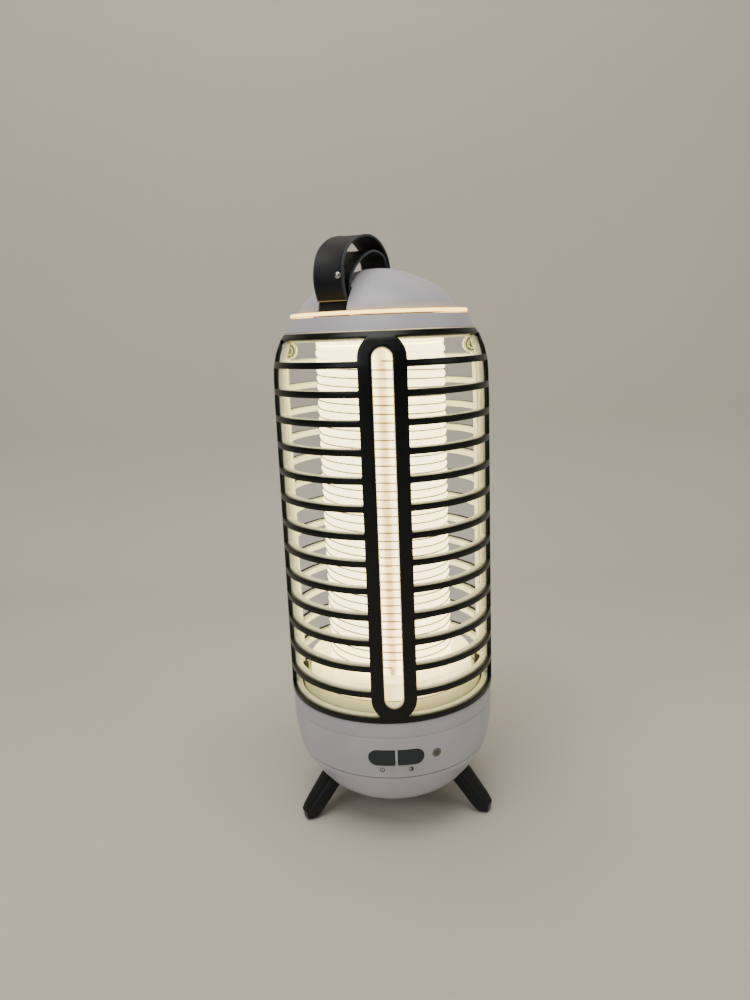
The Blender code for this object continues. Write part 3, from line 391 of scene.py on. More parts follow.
def button_rubber():
    """Silicone rubber keys: dull charcoal, moulded with fine level ridges 0.8 mm apart for grip, their crests
    painted lighter and their troughs darker as light and shade.
    """
    material, tree, place = surface("ridged_silicone_rubber", 0.58)
    height = add(tree, "SeparateXYZ", {"Vector": place}, out=2)
    turns = add(tree, "Math", {0: height, 1: tau / (0.8 * MM)}, TIMES)
    ridge = add(tree, "Math", {0: turns}, {"operation": "SINE"})
    share = add(tree, "MapRange", {0: ridge, 1: -1.0, 2: 1.0}, SMOOTH)
    # Painted light and shade: ridge crests lighter (2C353A), troughs darker (1C2428), in step with the bump
    ridges_painted_light = add(tree, "Mix", {0: share, 6: "1C2428", 7: "2C353A"}, COLOURS, 2)
    powder = add(tree, "TexNoise", {"Vector": place, "Scale": per(3.0), "Detail": 3.0})
    bloom = add(tree, "Math", {0: powder, 1: 0.35}, TIMES)
    return driven(material, {
        "Base Color": add(tree, "Mix", {0: bloom, 6: ridges_painted_light, 7: "353D41"}, COLOURS, 2),
        "Normal": add(tree, "Bump", {"Height": ridge, "Distance": 0.05 * MM, "Strength": 0.8})})


def smoked_lens():
    """Smoked acrylic over the light cell: grey brown and glossy, with a darker eye at its middle."""
    material, tree, place = surface("smoked_acrylic_lens", 0.14, Coat_Weight=0.5)
    far = add(tree, "VectorMath", {0: place, 1: sensor_point(0.0)}, {"operation": "DISTANCE"}, "Value")
    ring = add(tree, "MapRange", {0: far, 1: 0.9 * MM, 2: 1.7 * MM}, SMOOTH)
    body = add(tree, "Mix", {0: ring, 6: "3A322F", 7: "6E6663"}, COLOURS, 2)
    specks = add(tree, "TexNoise", {"Vector": place, "Scale": per(1.0), "Detail": 3.0})
    dust = add(tree, "Math", {0: specks, 1: 0.3}, TIMES)
    return driven(material, {
        "Base Color": add(tree, "Mix", {0: dust, 6: body, 7: "8A8380"}, COLOURS, 2)})


def printed_ink():
    """Pad-printed charcoal ink of the two signs: a thin, slightly uneven matte film."""
    material, tree, place = surface("pad_printed_ink", 0.6)
    film = add(tree, "TexNoise", {"Vector": place, "Scale": per(0.5), "Detail": 3.0})
    speck = add(tree, "MapRange", {0: film, 1: 0.35, 2: 0.65}, SMOOTH)
    return driven(material, {
        "Base Color": add(tree, "Mix", {0: speck, 6: "2E2E33", 7: "4A4A50"}, COLOURS, 2)})


def circuit_board():
    """Green solder mask over copper tracks 1.6 mm apart, which show as paler straight lines."""
    material, tree, place = surface("solder_masked_board", 0.32)
    tracks = {"Vector": place, "Scale": per(1.6), "Mortar Size": 0.12, "Color1": "14532B",
              "Color2": "1B6334", "Mortar": "4C8A4E"}
    height = add(tree, "TexBrick", tracks, out="Fac")
    return driven(material, {
        "Base Color": add(tree, "TexBrick", tracks, out="Color"),
        "Normal": add(tree, "Bump", {"Height": height, "Distance": 0.03 * MM})})


def shrink_wrap(name, colour, shade, wrinkle_mm):
    """Heat-shrunk film: glossy, with shallow wrinkles where it drew in unevenly."""
    material, tree, place = surface(name, 0.22)
    stretch = add(tree, "Mapping", {"Vector": place, "Scale": (0.3, 1.0, 1.0)})
    wrinkle = add(tree, "TexNoise", {"Vector": stretch, "Scale": per(wrinkle_mm), "Detail": 3.0})
    return driven(material, {
        "Base Color": add(tree, "Mix", {0: wrinkle, 6: colour, 7: shade}, COLOURS, 2),
        "Normal": add(tree, "Bump", {"Height": wrinkle, "Distance": 0.08 * MM})})


def taped_winding():
    """Yellow polyester tape over the transformer's winding, in bands 3 mm wide with lifted edges."""
    material, tree, place = surface("polyester_winding_tape", 0.35)
    height = add(tree, "SeparateXYZ", {"Vector": place}, out=2)
    bands = add(tree, "Math", {0: height, 1: per(3.0)}, TIMES)
    band = add(tree, "Math", {0: bands}, {"operation": "FRACT"})
    lap = add(tree, "MapRange", {0: band, 1: 0.85, 2: 1.0}, SMOOTH)
    return driven(material, {
        "Base Color": add(tree, "Mix", {0: lap, 6: "C9A63A", 7: "8E7424"}, COLOURS, 2),
        "Normal": add(tree, "Bump", {"Height": band, "Distance": 0.06 * MM})})


def stage_paper():
    """Plain matte backdrop paper, with the faintest unevenness of tone."""
    material, tree, place = surface("matte_backdrop_paper", 0.9)
    drift = add(tree, "TexNoise", {"Vector": place, "Scale": per(220.0), "Detail": 3.0})
    return driven(material, {
        "Base Color": add(tree, "Mix", {0: drift, 6: "D6D1C5", 7: "D0CBBF"}, COLOURS, 2)})


# ---------------------------------------------------------------- shape helpers

def radial(turn, radius, height):
    """A point at an angle from the front, turning towards +X."""
    return Vector((radius * sin(turn), -radius * cos(turn), height))


def sensor_point(inset):
    """The middle of the light sensor's window, or a point behind it."""
    return radial(SENSOR_TURN, 51.6 * MM - inset, SENSOR_Z)


def strap_place(s, across, height):
    """A point of the strap's plane: s along it, across it, and the height."""
    along = Vector((-sin(STRAP_TURN), cos(STRAP_TURN), 0))
    side = Vector((cos(STRAP_TURN), sin(STRAP_TURN), 0))
    return Vector((STRAP_OFFSET, 0, height)) + along * s + side * across


def strap_spot(point):
    """How far along the strap's plane, and across it, a point lies."""
    out = point - Vector((STRAP_OFFSET, 0, 0))
    along = -sin(STRAP_TURN) * out.x + cos(STRAP_TURN) * out.y
    return along, cos(STRAP_TURN) * out.x + sin(STRAP_TURN) * out.y


def millimetres(points):
    return [(r * MM, z * MM) for r, z in points]


def smooth_line(points, steps, closed=False):
    """Points on a Catmull-Rom curve through the given ones."""
    count = len(points)
    curve = []
    for i in range(count if closed else count - 1):
        if closed:
            a, b, c, d = (Vector(points[(i + k) % count]) for k in (-1, 0, 1, 2))
        else:
            a, b, c, d = (Vector(points[min(max(i + k, 0), count - 1)]) for k in (-1, 0, 1, 2))
        for step in range(steps):
            t = step / steps
            curve.append(0.5 * (2 * b + (c - a) * t + (2 * a - 5 * b + 4 * c - d) * t ** 2
                                + (3 * b - a - 3 * c + d) * t ** 3))
    if not closed:
        curve.append(Vector(points[-1]))
    return [(p.x, p.y) for p in curve]


def inset_line(points, depth):
    """A turned outline moved inwards along its normals."""
    moved = []
    for i, (r, z) in enumerate(points):
        before, after = points[max(i - 1, 0)], points[min(i + 1, len(points) - 1)]
        run = Vector((after[0] - before[0], after[1] - before[1])).normalized()
        moved.append((max(r + run.y * depth, 0.0), z - (run.x if r > CLOSE else 1.0) * depth))
    return moved


def spun(profile, closed=True, steps=ROUND):
    """A turned mesh; the profile runs down its outer side."""
    bm = bmesh.new()
    corners = [bm.verts.new((r, 0, z)) for r, z in profile]
    runs = list(zip(corners, corners[1:])) + ([(corners[-1], corners[0])] if closed else [])
    edges = [bm.edges.new(run) for run in runs]
    bmesh.ops.spin(bm, geom=corners + edges, cent=(0, 0, 0), axis=(0, 0, 1), angle=tau, steps=steps,
                   use_merge=True, use_duplicate=False)
    bmesh.ops.remove_doubles(bm, verts=bm.verts, dist=CLOSE)
    bmesh.ops.dissolve_degenerate(bm, edges=bm.edges, dist=CLOSE)
    bmesh.ops.recalc_face_normals(bm, faces=bm.faces)
    return bm


def soften(bm, width, segments=3, angle=radians(35)):
    """Rounds every edge sharper than an angle."""
    edges = [e for e in bm.edges if len(e.link_faces) == 2 and e.calc_face_angle() > angle]
    bmesh.ops.bevel(bm, geom=edges, offset=width, offset_type="OFFSET", segments=segments, profile=0.5,
                    affect="EDGES", clamp_overlap=True, material=-1)
    return bm


def linked(name, data):
    """A new object in the scene."""
    obj = bpy.data.objects.new(name, data)
    bpy.context.scene.collection.objects.link(obj)
    return obj


def evaluated(obj):
    """What an object's modifiers or curve make of it, as a bmesh."""
    mesh = bpy.data.meshes.new_from_object(obj.evaluated_get(bpy.context.evaluated_depsgraph_get()))
    bm = bmesh.new()
    bm.from_mesh(mesh)
    bpy.data.meshes.remove(mesh)
    return bm


def filled(bm):
    """Closes every hole with a face."""
    bmesh.ops.holes_fill(bm, edges=[e for e in bm.edges if e.is_boundary], sides=0)
    return bm


def carved(bm, cutters, operation="DIFFERENCE"):
    """The mesh with others cut away from it, or kept only where they overlap."""
    holders = []
    for source in [bm] + cutters:
        mesh = bpy.data.meshes.new("carving")
        source.to_mesh(mesh)
        source.free()
        holders.append(linked("carving", mesh))
    for cutter in holders[1:]:
        modifier = holders[0].modifiers.new("carve", "BOOLEAN")
        modifier.operation = operation
        modifier.solver = "EXACT"
        modifier.object = cutter
    result = evaluated(holders[0])
    for holder in holders:
        bpy.data.objects.remove(holder, do_unlink=True)
    return result


def joined(*meshes):
    """Several closed meshes as one."""
    combined = bmesh.new()
    for part in meshes:
        mesh = bpy.data.meshes.new("joining")
        part.to_mesh(mesh)
        part.free()
        combined.from_mesh(mesh)
        bpy.data.meshes.remove(mesh)
    return combined


def cylinder(radius, start, end, sides=48, chamfer=0.0):
    """A round peg between two points, its ends chamfered."""
    bm = bmesh.new()
    run = end - start
    bmesh.ops.create_cone(bm, cap_ends=True, segments=sides, radius1=radius, radius2=radius, depth=run.length)
    if chamfer:
        soften(bm, chamfer)
    turn = run.to_track_quat("Z", "Y").to_matrix().to_4x4()
    bmesh.ops.transform(bm, matrix=Matrix.Translation((start + end) / 2) @ turn, verts=bm.verts)
    return bm


def piece(bm, name, material, body, nodes=(), sharp=radians(38)):
    """A finished piece: its object at the origin, riding on its body and standing for its nodes."""
    mesh = bpy.data.meshes.new(name)
    bm.to_mesh(mesh)
    bm.free()
    mesh.shade_smooth()
    mesh.set_sharp_from_angle(angle=sharp)
    mesh.materials.append(material)
    obj = linked(name, mesh)
    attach(obj, body)
    if nodes:
        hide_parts(*nodes)
    return obj


# ---------------------------------------------------------------- cage

def outline_radius(z, profile):
    """The radius of a turned outline at a height."""
    for (r1, z1), (r2, z2) in zip(profile, profile[1:]):
        if z >= z2 - CLOSE:
            return r1 + (r2 - r1) * (z1 - z) / (z1 - z2)
    return profile[-1][0]


def strip_half(z, half, least):
    """Half the width of an upright strip with round ends, at a height."""
    beyond = max(z - RIB_HIGH, RIB_LOW - z, 0.0)
    return sqrt(max(half ** 2 - beyond ** 2, least ** 2))


def hoop_spans():
    spans = [(BAND_TOP, TOP_BAND_LOW)]
    for i in range(1, HOOPS + 1):
        middle = FIRST_HOOP - HOOP_PITCH * i
        spans.append((middle + HOOP_HALF, middle - HOOP_HALF))
    return spans + [(BOTTOM_BAND_TOP, BAND_LOW)]


def cage_heights():
    """The cage's cross lines: every hoop edge, and enough between them to round the ribs and slots."""
    heights = [z for hoop in hoop_spans() for z in hoop]
    extra = [z * MM for _, z in SHOULDER[1:-1]]
    for half in (SLOT_HALF, RIB_HALF):
        for step in range(END_STEPS + 1):
            rise = half * sin(pi / 2 * step / END_STEPS)
            extra += [RIB_HIGH + rise, RIB_LOW - rise]
    for z in extra:
        if BAND_LOW < z < BAND_TOP and min(abs(z - h) for h in heights) > ROW_ROOM:
            heights.append(z)
    return sorted(heights, reverse=True)


def cage_columns(z, radius):
    """The angles of the cage's upright lines over one quarter: rib, slot, rib and the windows' span."""
    rib = asin(strip_half(z, RIB_HALF, RIB_NECK) / radius)
    slot = asin(strip_half(z, SLOT_HALF, SLOT_TIP) / radius)
    marks = [(-rib, -slot, RIB_STEPS), (-slot, slot, SLOT_STEPS), (slot, rib, RIB_STEPS),
             (rib, pi / 2 - rib, WINDOW_STEPS)]
    return [low + (high - low) * step / steps for low, high, steps in marks for step in range(steps)]


def cage(profile):
    """The cage's outer surface: a grid wrapped round the axis, with its windows and slots left out."""
    heights = cage_heights()
    window_start = 2 * RIB_STEPS + SLOT_STEPS
    quarter = window_start + WINDOW_STEPS
    columns, rows = 4 * quarter, len(heights) - 1
    bm = bmesh.new()
    bmesh.ops.create_grid(bm, x_segments=columns, y_segments=rows, size=0.5)
    spot = {v: (round((v.co.x + 0.5) * columns), round((0.5 - v.co.y) * rows)) for v in bm.verts}
    hoops = hoop_spans()
    slot_high, slot_low = RIB_HIGH + SLOT_HALF, RIB_LOW - SLOT_HALF
    open_faces = []
    for face in bm.faces:
        column = min(spot[v][0] for v in face.verts) % quarter
        row = min(spot[v][1] for v in face.verts)
        middle = (heights[row] + heights[row + 1]) / 2
        in_hoop = any(low < middle < high for high, low in hoops)
        in_slot = RIB_STEPS <= column < RIB_STEPS + SLOT_STEPS and slot_low < middle < slot_high
        if in_slot or (column >= window_start and not in_hoop):
            open_faces.append(face)
    for vertex, (column, row) in spot.items():
        z = heights[row]
        radius = outline_radius(z, profile)
        turn = cage_columns(z, radius)[column % quarter] + (column // quarter) * pi / 2
        vertex.co = radial(turn, radius, z)
    bmesh.ops.delete(bm, geom=open_faces, context="FACES")
    bmesh.ops.remove_doubles(bm, verts=bm.verts, dist=CLOSE)
    sample = next(iter(bm.faces))
    middle = sample.calc_center_median()
    if sample.normal.dot(Vector((middle.x, middle.y, 0))) < 0:
        bmesh.ops.reverse_faces(bm, faces=bm.faces)
    return bm


def walled(obj, wall, edge, segments=2, even=True):
    """Gives a surface its wall inwards, and rounds the edges of the wall. An even wall keeps its
    thickness at corners, which a smooth surface with narrow faces doesn't need."""
    solidify = obj.modifiers.new("wall", "SOLIDIFY")
    solidify.thickness = wall
    solidify.offset = -1.0
    solidify.use_even_offset = even
    bevel = obj.modifiers.new("edges", "BEVEL")
    bevel.width = edge
    bevel.segments = segments
    bevel.limit_method = "ANGLE"
    bevel.angle_limit = radians(50)
    return obj


def make_cages():
    outer = millimetres(SHOULDER)
    shell = piece(cage(outer), "cage_moulding", cage_abs(), "head", ["outer_cage"])
    walled(shell, CAGE_WALL, 0.35 * MM)
    milky = liner_plastic()
    inner = cage(inset_line(outer, LINER_INSET))
    liner = piece(inner, "liner_moulding", milky, "head", ["inner_cage"])
    walled(liner, LINER_WALL, 0.4 * MM)
    for side, word in ((-1, "left"), (1, "right")):
        centre = Vector((side * BOSS_PLACE[0], BOSS_PLACE[1], BOSS_PLACE[2]))
        depth = Vector((0, BOSS_DEPTH, 0))
        ring = carved(cylinder(4.1 * MM, centre - depth / 2, centre + depth / 2, chamfer=0.4 * MM),
                      [cylinder(3.1 * MM, centre - depth, centre)])
        sleeve = carved(cylinder(2.5 * MM, centre - depth * 0.45, centre + depth * 0.1, chamfer=0.3 * MM),
                        [cylinder(1.5 * MM, centre - depth, centre - depth * 0.1)])
        piece(joined(ring, sleeve), "screw_boss_" + word, milky, "head")
        low, high = (Vector((side * CLIP_PLACE[0], CLIP_PLACE[1], z)) for z in CLIP_HEIGHTS)
        clip = cylinder(CLIP_RADIUS, low, high, chamfer=0.4 * MM)
        piece(clip, "liner_clip_" + word, clip_black, "head")


# ---------------------------------------------------------------- head

def whole(bm):
    return bm.verts[:] + bm.edges[:] + bm.faces[:]


def sliced(bm, point, normal, clear=False):
    """Adds a line of edges where a plane crosses the mesh, or clears what lies past it."""
    bmesh.ops.bisect_plane(bm, geom=whole(bm), dist=CLOSE / 10, plane_co=point, plane_no=normal,
                           clear_outer=clear, clear_inner=False)


def make_dome(casing):
    """The cap: a smooth turned dome, with a notch at its rim and a slot behind for the strap."""
    side = Vector((cos(STRAP_TURN), sin(STRAP_TURN), 0))
    along = Vector((-sin(STRAP_TURN), cos(STRAP_TURN), 0))
    bm = spun(smooth_line(millimetres(DOME), 6), closed=False, steps=192)
    for edge in (-1, 1):
        sliced(bm, strap_place(0, edge * SLOT_HALF_WIDTH, 0), side)
    for s in (FRONT_NOTCH, *REAR_SLOT):
        sliced(bm, strap_place(s, 0, 0), along)
    openings = []
    for face in bm.faces:
        s, across = strap_spot(face.calc_center_median())
        if abs(across) < SLOT_HALF_WIDTH and (s < FRONT_NOTCH or REAR_SLOT[0] < s < REAR_SLOT[1]):
            openings.append(face)
    bmesh.ops.delete(bm, geom=openings, context="FACES")
    bmesh.ops.dissolve_degenerate(bm, dist=SLIVER, edges=bm.edges)
    obj = piece(bm, "dome_moulding", casing, "head", ["dome_cap"], radians(30))
    walled(obj, DOME_WALL, DOME_EDGE, 3, even=False)


def shifted_line(points, depth):
    """A line of the strap's plane moved sideways."""
    moved = []
    for i, (s, z) in enumerate(points):
        before, after = points[max(i - 1, 0)], points[min(i + 1, len(points) - 1)]
        run = Vector((after[0] - before[0], after[1] - before[1])).normalized()
        moved.append((s + run.y * depth, z - run.x * depth))
    return moved


def strap_line():
    """The band's middle line, from its cut end over the top, round the rear pin, back under the
    top and round the front pin, to its lower ply, which lies inside the cut end."""
    front, rear = PINS
    outer = smooth_line(millimetres(OUTER_LOOP), 8)
    upper = [point for i, point in enumerate(outer) if point[1] > STRAP_END or i > len(outer) // 2]
    front_half = outer[:len(outer) // 2]
    ply = shifted_line([point for point in front_half if point[1] < LOWER_PLY_TOP], PLY_STEP)
    back = [outer[-1], (rear + PIN_TURN, PIN_HEIGHT), (rear, PIN_HEIGHT - PIN_TURN),
            (rear - PIN_TURN, PIN_HEIGHT)]
    under = back + millimetres(INNER_LOOP)
    under += [(front + PIN_TURN, PIN_HEIGHT), (front, PIN_HEIGHT - PIN_TURN),
              (front - PIN_TURN, PIN_HEIGHT)]
    return upper[:-1] + smooth_line(under + [ply[0]], 8)[:-1] + ply


def strap_matrix(line, i):
    """The frame of the band at a point: across it, out of it and along it."""
    before, here, after = line[max(i - 1, 0)], line[i], line[min(i + 1, len(line) - 1)]
    across = Vector((cos(STRAP_TURN), sin(STRAP_TURN), 0))
    run = (strap_place(after[0], 0, after[1]) - strap_place(before[0], 0, before[1])).normalized()
    out = run.cross(across).normalized()
    turn = Matrix((across, out, run)).transposed().to_4x4()
    return Matrix.Translation(strap_place(here[0], 0, here[1])) @ turn


def make_strap():
    """The band: its section, drawn along the line ring by ring, with both cut ends closed."""
    line = strap_line()
    section = STRAP_SECTION + [(x, -y) for x, y in reversed(STRAP_SECTION)]
    bm = bmesh.new()
    matrix = strap_matrix(line, 0)
    ring = [bm.verts.new(matrix @ Vector((x * MM, y * MM, 0))) for x, y in section]
    edges = [bm.edges.new((a, b)) for a, b in zip(ring, ring[1:] + ring[:1])]
    reach = {v: 0.0 for v in ring}
    total = 0.0
    for i in range(1, len(line)):
        new = bmesh.ops.extrude_edge_only(bm, edges=edges)["geom"]
        verts = {g for g in new if isinstance(g, bmesh.types.BMVert)}
        edges = [g for g in new if isinstance(g, bmesh.types.BMEdge) and verts.issuperset(g.verts)]
        following = strap_matrix(line, i)
        bmesh.ops.transform(bm, matrix=following @ matrix.inverted(), verts=list(verts))
        total += (following.translation - matrix.translation).length
        matrix = following
        for vertex in verts:
            reach[vertex] = total
    filled(bm)
    bmesh.ops.recalc_face_normals(bm, faces=bm.faces)
    uv = bm.loops.layers.uv.new("tape")
    for face in bm.faces:
        for loop in face.loops:
            loop[uv].uv = (strap_spot(loop.vert.co)[1], reach[loop.vert])
    piece(bm, "strap_band", webbing(), "head", ["strap"], radians(60))


def make_rivet(steel):
    """A domed rivet head on the strap's outer face."""
    low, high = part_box("strap_rivet")
    centre = (low + high) / 2
    outwards = strap_place(-1, 0, 0) - strap_place(0, 0, 0)
    tall, radius = 0.9 * MM, 1.5 * MM
    profile = [(radius * sin(pi / 2 * k / 8), tall * cos(pi / 2 * k / 8)) for k in range(9)] + [(0, 0)]
    bm = spun(profile, closed=False, steps=40)
    turn = outwards.to_track_quat("Z", "Y").to_matrix().to_4x4()
    bmesh.ops.transform(bm, matrix=Matrix.Translation(centre - outwards * tall / 2) @ turn, verts=bm.verts)
    piece(bm, "rivet_head", steel, "head", ["strap_rivet"])


def make_head_rings(casing):
    guide = spun(millimetres([(42.4, 253.4), (42.45, 252.5), (42.4, 251.6), (40.6, 251.6), (40.6, 253.4)]))
    piece(soften(guide, 0.25 * MM), "light_guide", glowing_ring(), "head", ["light_ring"])
    slope = smooth_line(millimetres([(42.4, 251.2), (43.4, 249.2), (44.6, 246.9), (45.7, 244.7)]), 4)
    collar = spun(slope + millimetres([(43.7, 244.7), (40.6, 251.2)]))
    piece(soften(collar, 0.25 * MM), "collar_moulding", casing, "head", ["top_collar"])


# ---------------------------------------------------------------- glowing core

def make_column():
    """The lit column, pinched in along a double spiral where the two wires lie."""
    bm = bmesh.new()
    bmesh.ops.create_grid(bm, x_segments=COLUMN_AROUND, y_segments=COLUMN_UP, size=0.5)
    for vertex in bm.verts:
        turn = (vertex.co.x + 0.5) * tau
        z = COLUMN_LOW + (vertex.co.y + 0.5) * (COLUMN_TOP - COLUMN_LOW)
        pitch = WIRE_LEAD / 2
        share = ((z - WIRE_LOW + WIRE_LEAD * turn / tau) / pitch) % 1.0
        radius = COLUMN_RADIUS - COLUMN_GROOVE * (1 - sin(pi * share) ** GROOVE_POWER)
        vertex.co = radial(turn, radius, z)
    bmesh.ops.remove_doubles(bm, verts=bm.verts, dist=CLOSE)
    filled(bm)
    bmesh.ops.recalc_face_normals(bm, faces=bm.faces)
    glow = glowing_column()
    piece(bm, "lit_column", glow, "base", ["core_tube"], radians(80))
    low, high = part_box("core_top_cap")
    cap = spun([(0, high.z), (COLUMN_CAP, high.z), (COLUMN_CAP, low.z), (0, low.z)], closed=False)
    piece(soften(cap, 0.5 * MM), "lit_cap", glow, "base", ["core_top_cap"])


def make_wire(phase, name, node, material):
    """One bare wire of the grid, wound on the column."""
    count = int(WIRE_TURNS * WIRE_STEPS) + 1
    curve = bpy.data.curves.new("wire", "CURVE")
    curve.dimensions = "3D"
    curve.bevel_depth = WIRE_RADIUS
    curve.bevel_resolution = 2
    curve.use_fill_caps = True
    spline = curve.splines.new("POLY")
    spline.points.add(count - 1)
    for i, point in enumerate(spline.points):
        turns = i / WIRE_STEPS
        point.co = (*radial(phase - tau * turns, WIRE_COIL, WIRE_LOW + WIRE_LEAD * turns), 1.0)
    holder = linked("wire", curve)
    bm = evaluated(holder)
    bpy.data.objects.remove(holder, do_unlink=True)
    bmesh.ops.remove_doubles(bm, verts=bm.verts, dist=CLOSE)
    piece(bm, name, material, "base", [node], radians(60))


def make_core():
    make_column()
    wire = drawn_wire()
    make_wire(0.0, "wire_live", "grid_wire_live", wire)
    make_wire(pi, "wire_ground", "grid_wire_ground", wire)
    drum = spun(millimetres([(26, 79.5), (42.0, 79.5), (42.0, 70.8), (40.4, 70.8), (40.4, 77.9), (26, 77.9)]))
    piece(soften(drum, 0.6 * MM, 4), "lit_plinth", glowing_drum(), "base", ["core_drum"])
    tray = spun(millimetres([(41.0, 70.1), (46.4, 67.3), (46.4, 53.4), (44.8, 53.4), (44.8, 66.3),
                             (41.0, 68.3)]))
    piece(soften(tray, 0.3 * MM), "tray_moulding", tray_plastic(), "base", ["insect_tray"])


# ---------------------------------------------------------------- base

def half_pill(side, gap, front, back):
    """A block along Y, flat towards the middle and half round on the far side."""
    half = BUTTON_TALL - gap
    centre = BUTTON_REACH - gap - half
    bm = bmesh.new()
    bmesh.ops.create_cone(bm, cap_ends=True, segments=64, radius1=half, radius2=half, depth=back - front)
    turn = Matrix.Rotation(pi / 2, 4, "X") @ Matrix.Rotation(tau / 128, 4, "Z")
    bmesh.ops.transform(bm, matrix=turn, verts=bm.verts)
    for vertex in bm.verts:
        if vertex.co.x * side < 0:
            vertex.co.x = side * (BUTTON_DIVIDER + gap)
        else:
            vertex.co.x += side * centre
    bmesh.ops.remove_doubles(bm, verts=bm.verts, dist=CLOSE)
    bmesh.ops.dissolve_limit(bm, angle_limit=radians(1), verts=bm.verts, edges=bm.edges)
    shift = Vector((0, (front + back) / 2, BUTTON_Z))
    bmesh.ops.translate(bm, vec=shift, verts=bm.verts)
    return bm


def drum_face(radius):
    """A round block that gives what it meets a face curved like the base."""
    return spun(millimetres([(0, 60)]) + [(radius, 60 * MM), (radius, 30 * MM), (0, 30 * MM)], closed=False)


def slab(size, centre, edge=0.0):
    """A block with rounded edges."""
    bm = bmesh.new()
    bmesh.ops.create_cube(bm, size=1.0)
    bmesh.ops.scale(bm, vec=size, verts=bm.verts)
    if edge:
        soften(bm, edge, 4)
    bmesh.ops.translate(bm, vec=centre, verts=bm.verts)
    return bm


def make_base_shell(casing):
    outline = smooth_line(millimetres([BASE_SEAM] + BASE[1:]), 5)
    inside = [(r - BASE_WALL, z) for r, z in outline]
    shell = soften(spun(outline + list(reversed(inside))), 0.3 * MM)
    cutters = [half_pill(side, 0.0, -60 * MM, -40 * MM) for side in (-1, 1)]
    start, end = (radial(SENSOR_TURN, reach, SENSOR_Z) for reach in (40 * MM, 60 * MM))
    cutters.append(cylinder(SENSOR_RADIUS + 0.12 * MM, start, end))
    cutters.append(slab((13.6 * MM, 20 * MM, 7.6 * MM), (0, 50 * MM, INLET_Z), 1.2 * MM))
    piece(carved(shell, cutters), "base_moulding", casing, "base", ["base_shell"])
    ring = spun(millimetres([(51.9, 64.3), (52.0, 56.8), (49.8, 56.8), (49.8, 62.6), (48.0, 62.6),
                             (48.0, 64.3)]))
    piece(soften(ring, 0.25 * MM), "twist_ring_moulding", casing, "twist_ring", ["twist_ring"])


def make_buttons():
    rubber = button_rubber()
    for side, word in ((-1, "power"), (1, "auto")):
        block = half_pill(side, BUTTON_GAP, -60 * MM, -BUTTON_BACK)
        key = carved(block, [drum_face(BUTTON_FACE)], "INTERSECT")
        bmesh.ops.dissolve_limit(key, angle_limit=radians(1.2), verts=key.verts, edges=key.edges)
        rim = [e for e in key.edges if len(e.link_faces) == 2 and e.calc_face_angle() > radians(60)
               and max(v.co.y for v in e.verts) < -BUTTON_BACK - 2 * MM]
        bmesh.ops.bevel(key, geom=rim, offset=0.45 * MM, offset_type="OFFSET", segments=3, profile=0.5,
                        affect="EDGES", clamp_overlap=True, material=-1)
        piece(key, "key_" + word, rubber, "button_" + word, ["button_" + word])
    flap = slab((13 * MM, 14 * MM, 7 * MM), (0, 56.6 * MM, INLET_Z), 1.0 * MM)
    cover = carved(flap, [drum_face(51.4 * MM)], "INTERSECT")
    piece(cover, "inlet_plug", rubber, "usb_cover", ["usb_cover"])


def make_sensor():
    """The domed window of the light sensor."""
    radius, rise = SENSOR_RADIUS, 0.35 * MM
    profile = [(radius * sin(pi / 2 * k / 8), rise * cos(pi / 2 * k / 8)) for k in range(9)]
    profile += [(radius, -2.6 * MM), (0, -2.6 * MM)]
    bm = spun(profile, closed=False, steps=48)
    outwards = radial(SENSOR_TURN, 1.0, 0)
    turn = outwards.to_track_quat("Z", "Y").to_matrix().to_4x4()
    bmesh.ops.transform(bm, matrix=Matrix.Translation(sensor_point(0.35 * MM)) @ turn, verts=bm.verts)
    piece(bm, "sensor_window", smoked_lens(), "base", ["sensor_lens"])


def wrapped(bm, centre_x, centre_z):
    """Lays a flat sign drawn in X and Y on the curved face of the base, and gives it a thin film's depth."""
    for vertex in bm.verts:
        x, z = centre_x + vertex.co.x, centre_z + vertex.co.y
        radius = outline_radius(z, smooth_line(millimetres(BASE), 5)) + 0.04 * MM
        vertex.co = Vector((x, -sqrt(radius ** 2 - x ** 2), z))
    bmesh.ops.recalc_face_normals(bm, faces=bm.faces)
    bmesh.ops.solidify(bm, geom=bm.faces[:], thickness=0.06 * MM)
    return bm


def arc_band(radius, width, angle, start, steps=28):
    """A flat curved band, spun from its short end."""
    bm = bmesh.new()
    ends = [bm.verts.new((r * cos(start), r * sin(start), 0)) for r in (radius - width, radius)]
    edge = bm.edges.new(ends)
    bmesh.ops.spin(bm, geom=ends + [edge], cent=(0, 0, 0), axis=(0, 0, 1), angle=angle, steps=steps,
                   use_merge=angle > tau - 0.01, use_duplicate=False)
    bmesh.ops.remove_doubles(bm, verts=bm.verts, dist=CLOSE)
    return bm


def make_signs():
    """Two plain signs under the keys: a broken ring with a bar for power, and a half-filled ring."""
    ink = printed_ink()
    sign_z = 39.7 * MM
    ring = arc_band(1.25 * MM, 0.36 * MM, radians(290), radians(125))
    bar = bmesh.new()
    bmesh.ops.create_grid(bar, x_segments=1, y_segments=3, size=0.5)
    bmesh.ops.scale(bar, vec=(0.36 * MM, 1.3 * MM, 1), verts=bar.verts)
    bmesh.ops.translate(bar, vec=(0, 0.95 * MM, 0), verts=bar.verts)
    piece(wrapped(joined(ring, bar), -6.9 * MM, sign_z), "sign_power", ink, "base")
    whole_ring = arc_band(1.25 * MM, 0.3 * MM, tau, 0.0)
    half = arc_band(0.94 * MM, 0.92 * MM, pi, -pi / 2)
    piece(wrapped(joined(whole_ring, half), 6.9 * MM, sign_z), "sign_auto", ink, "base")


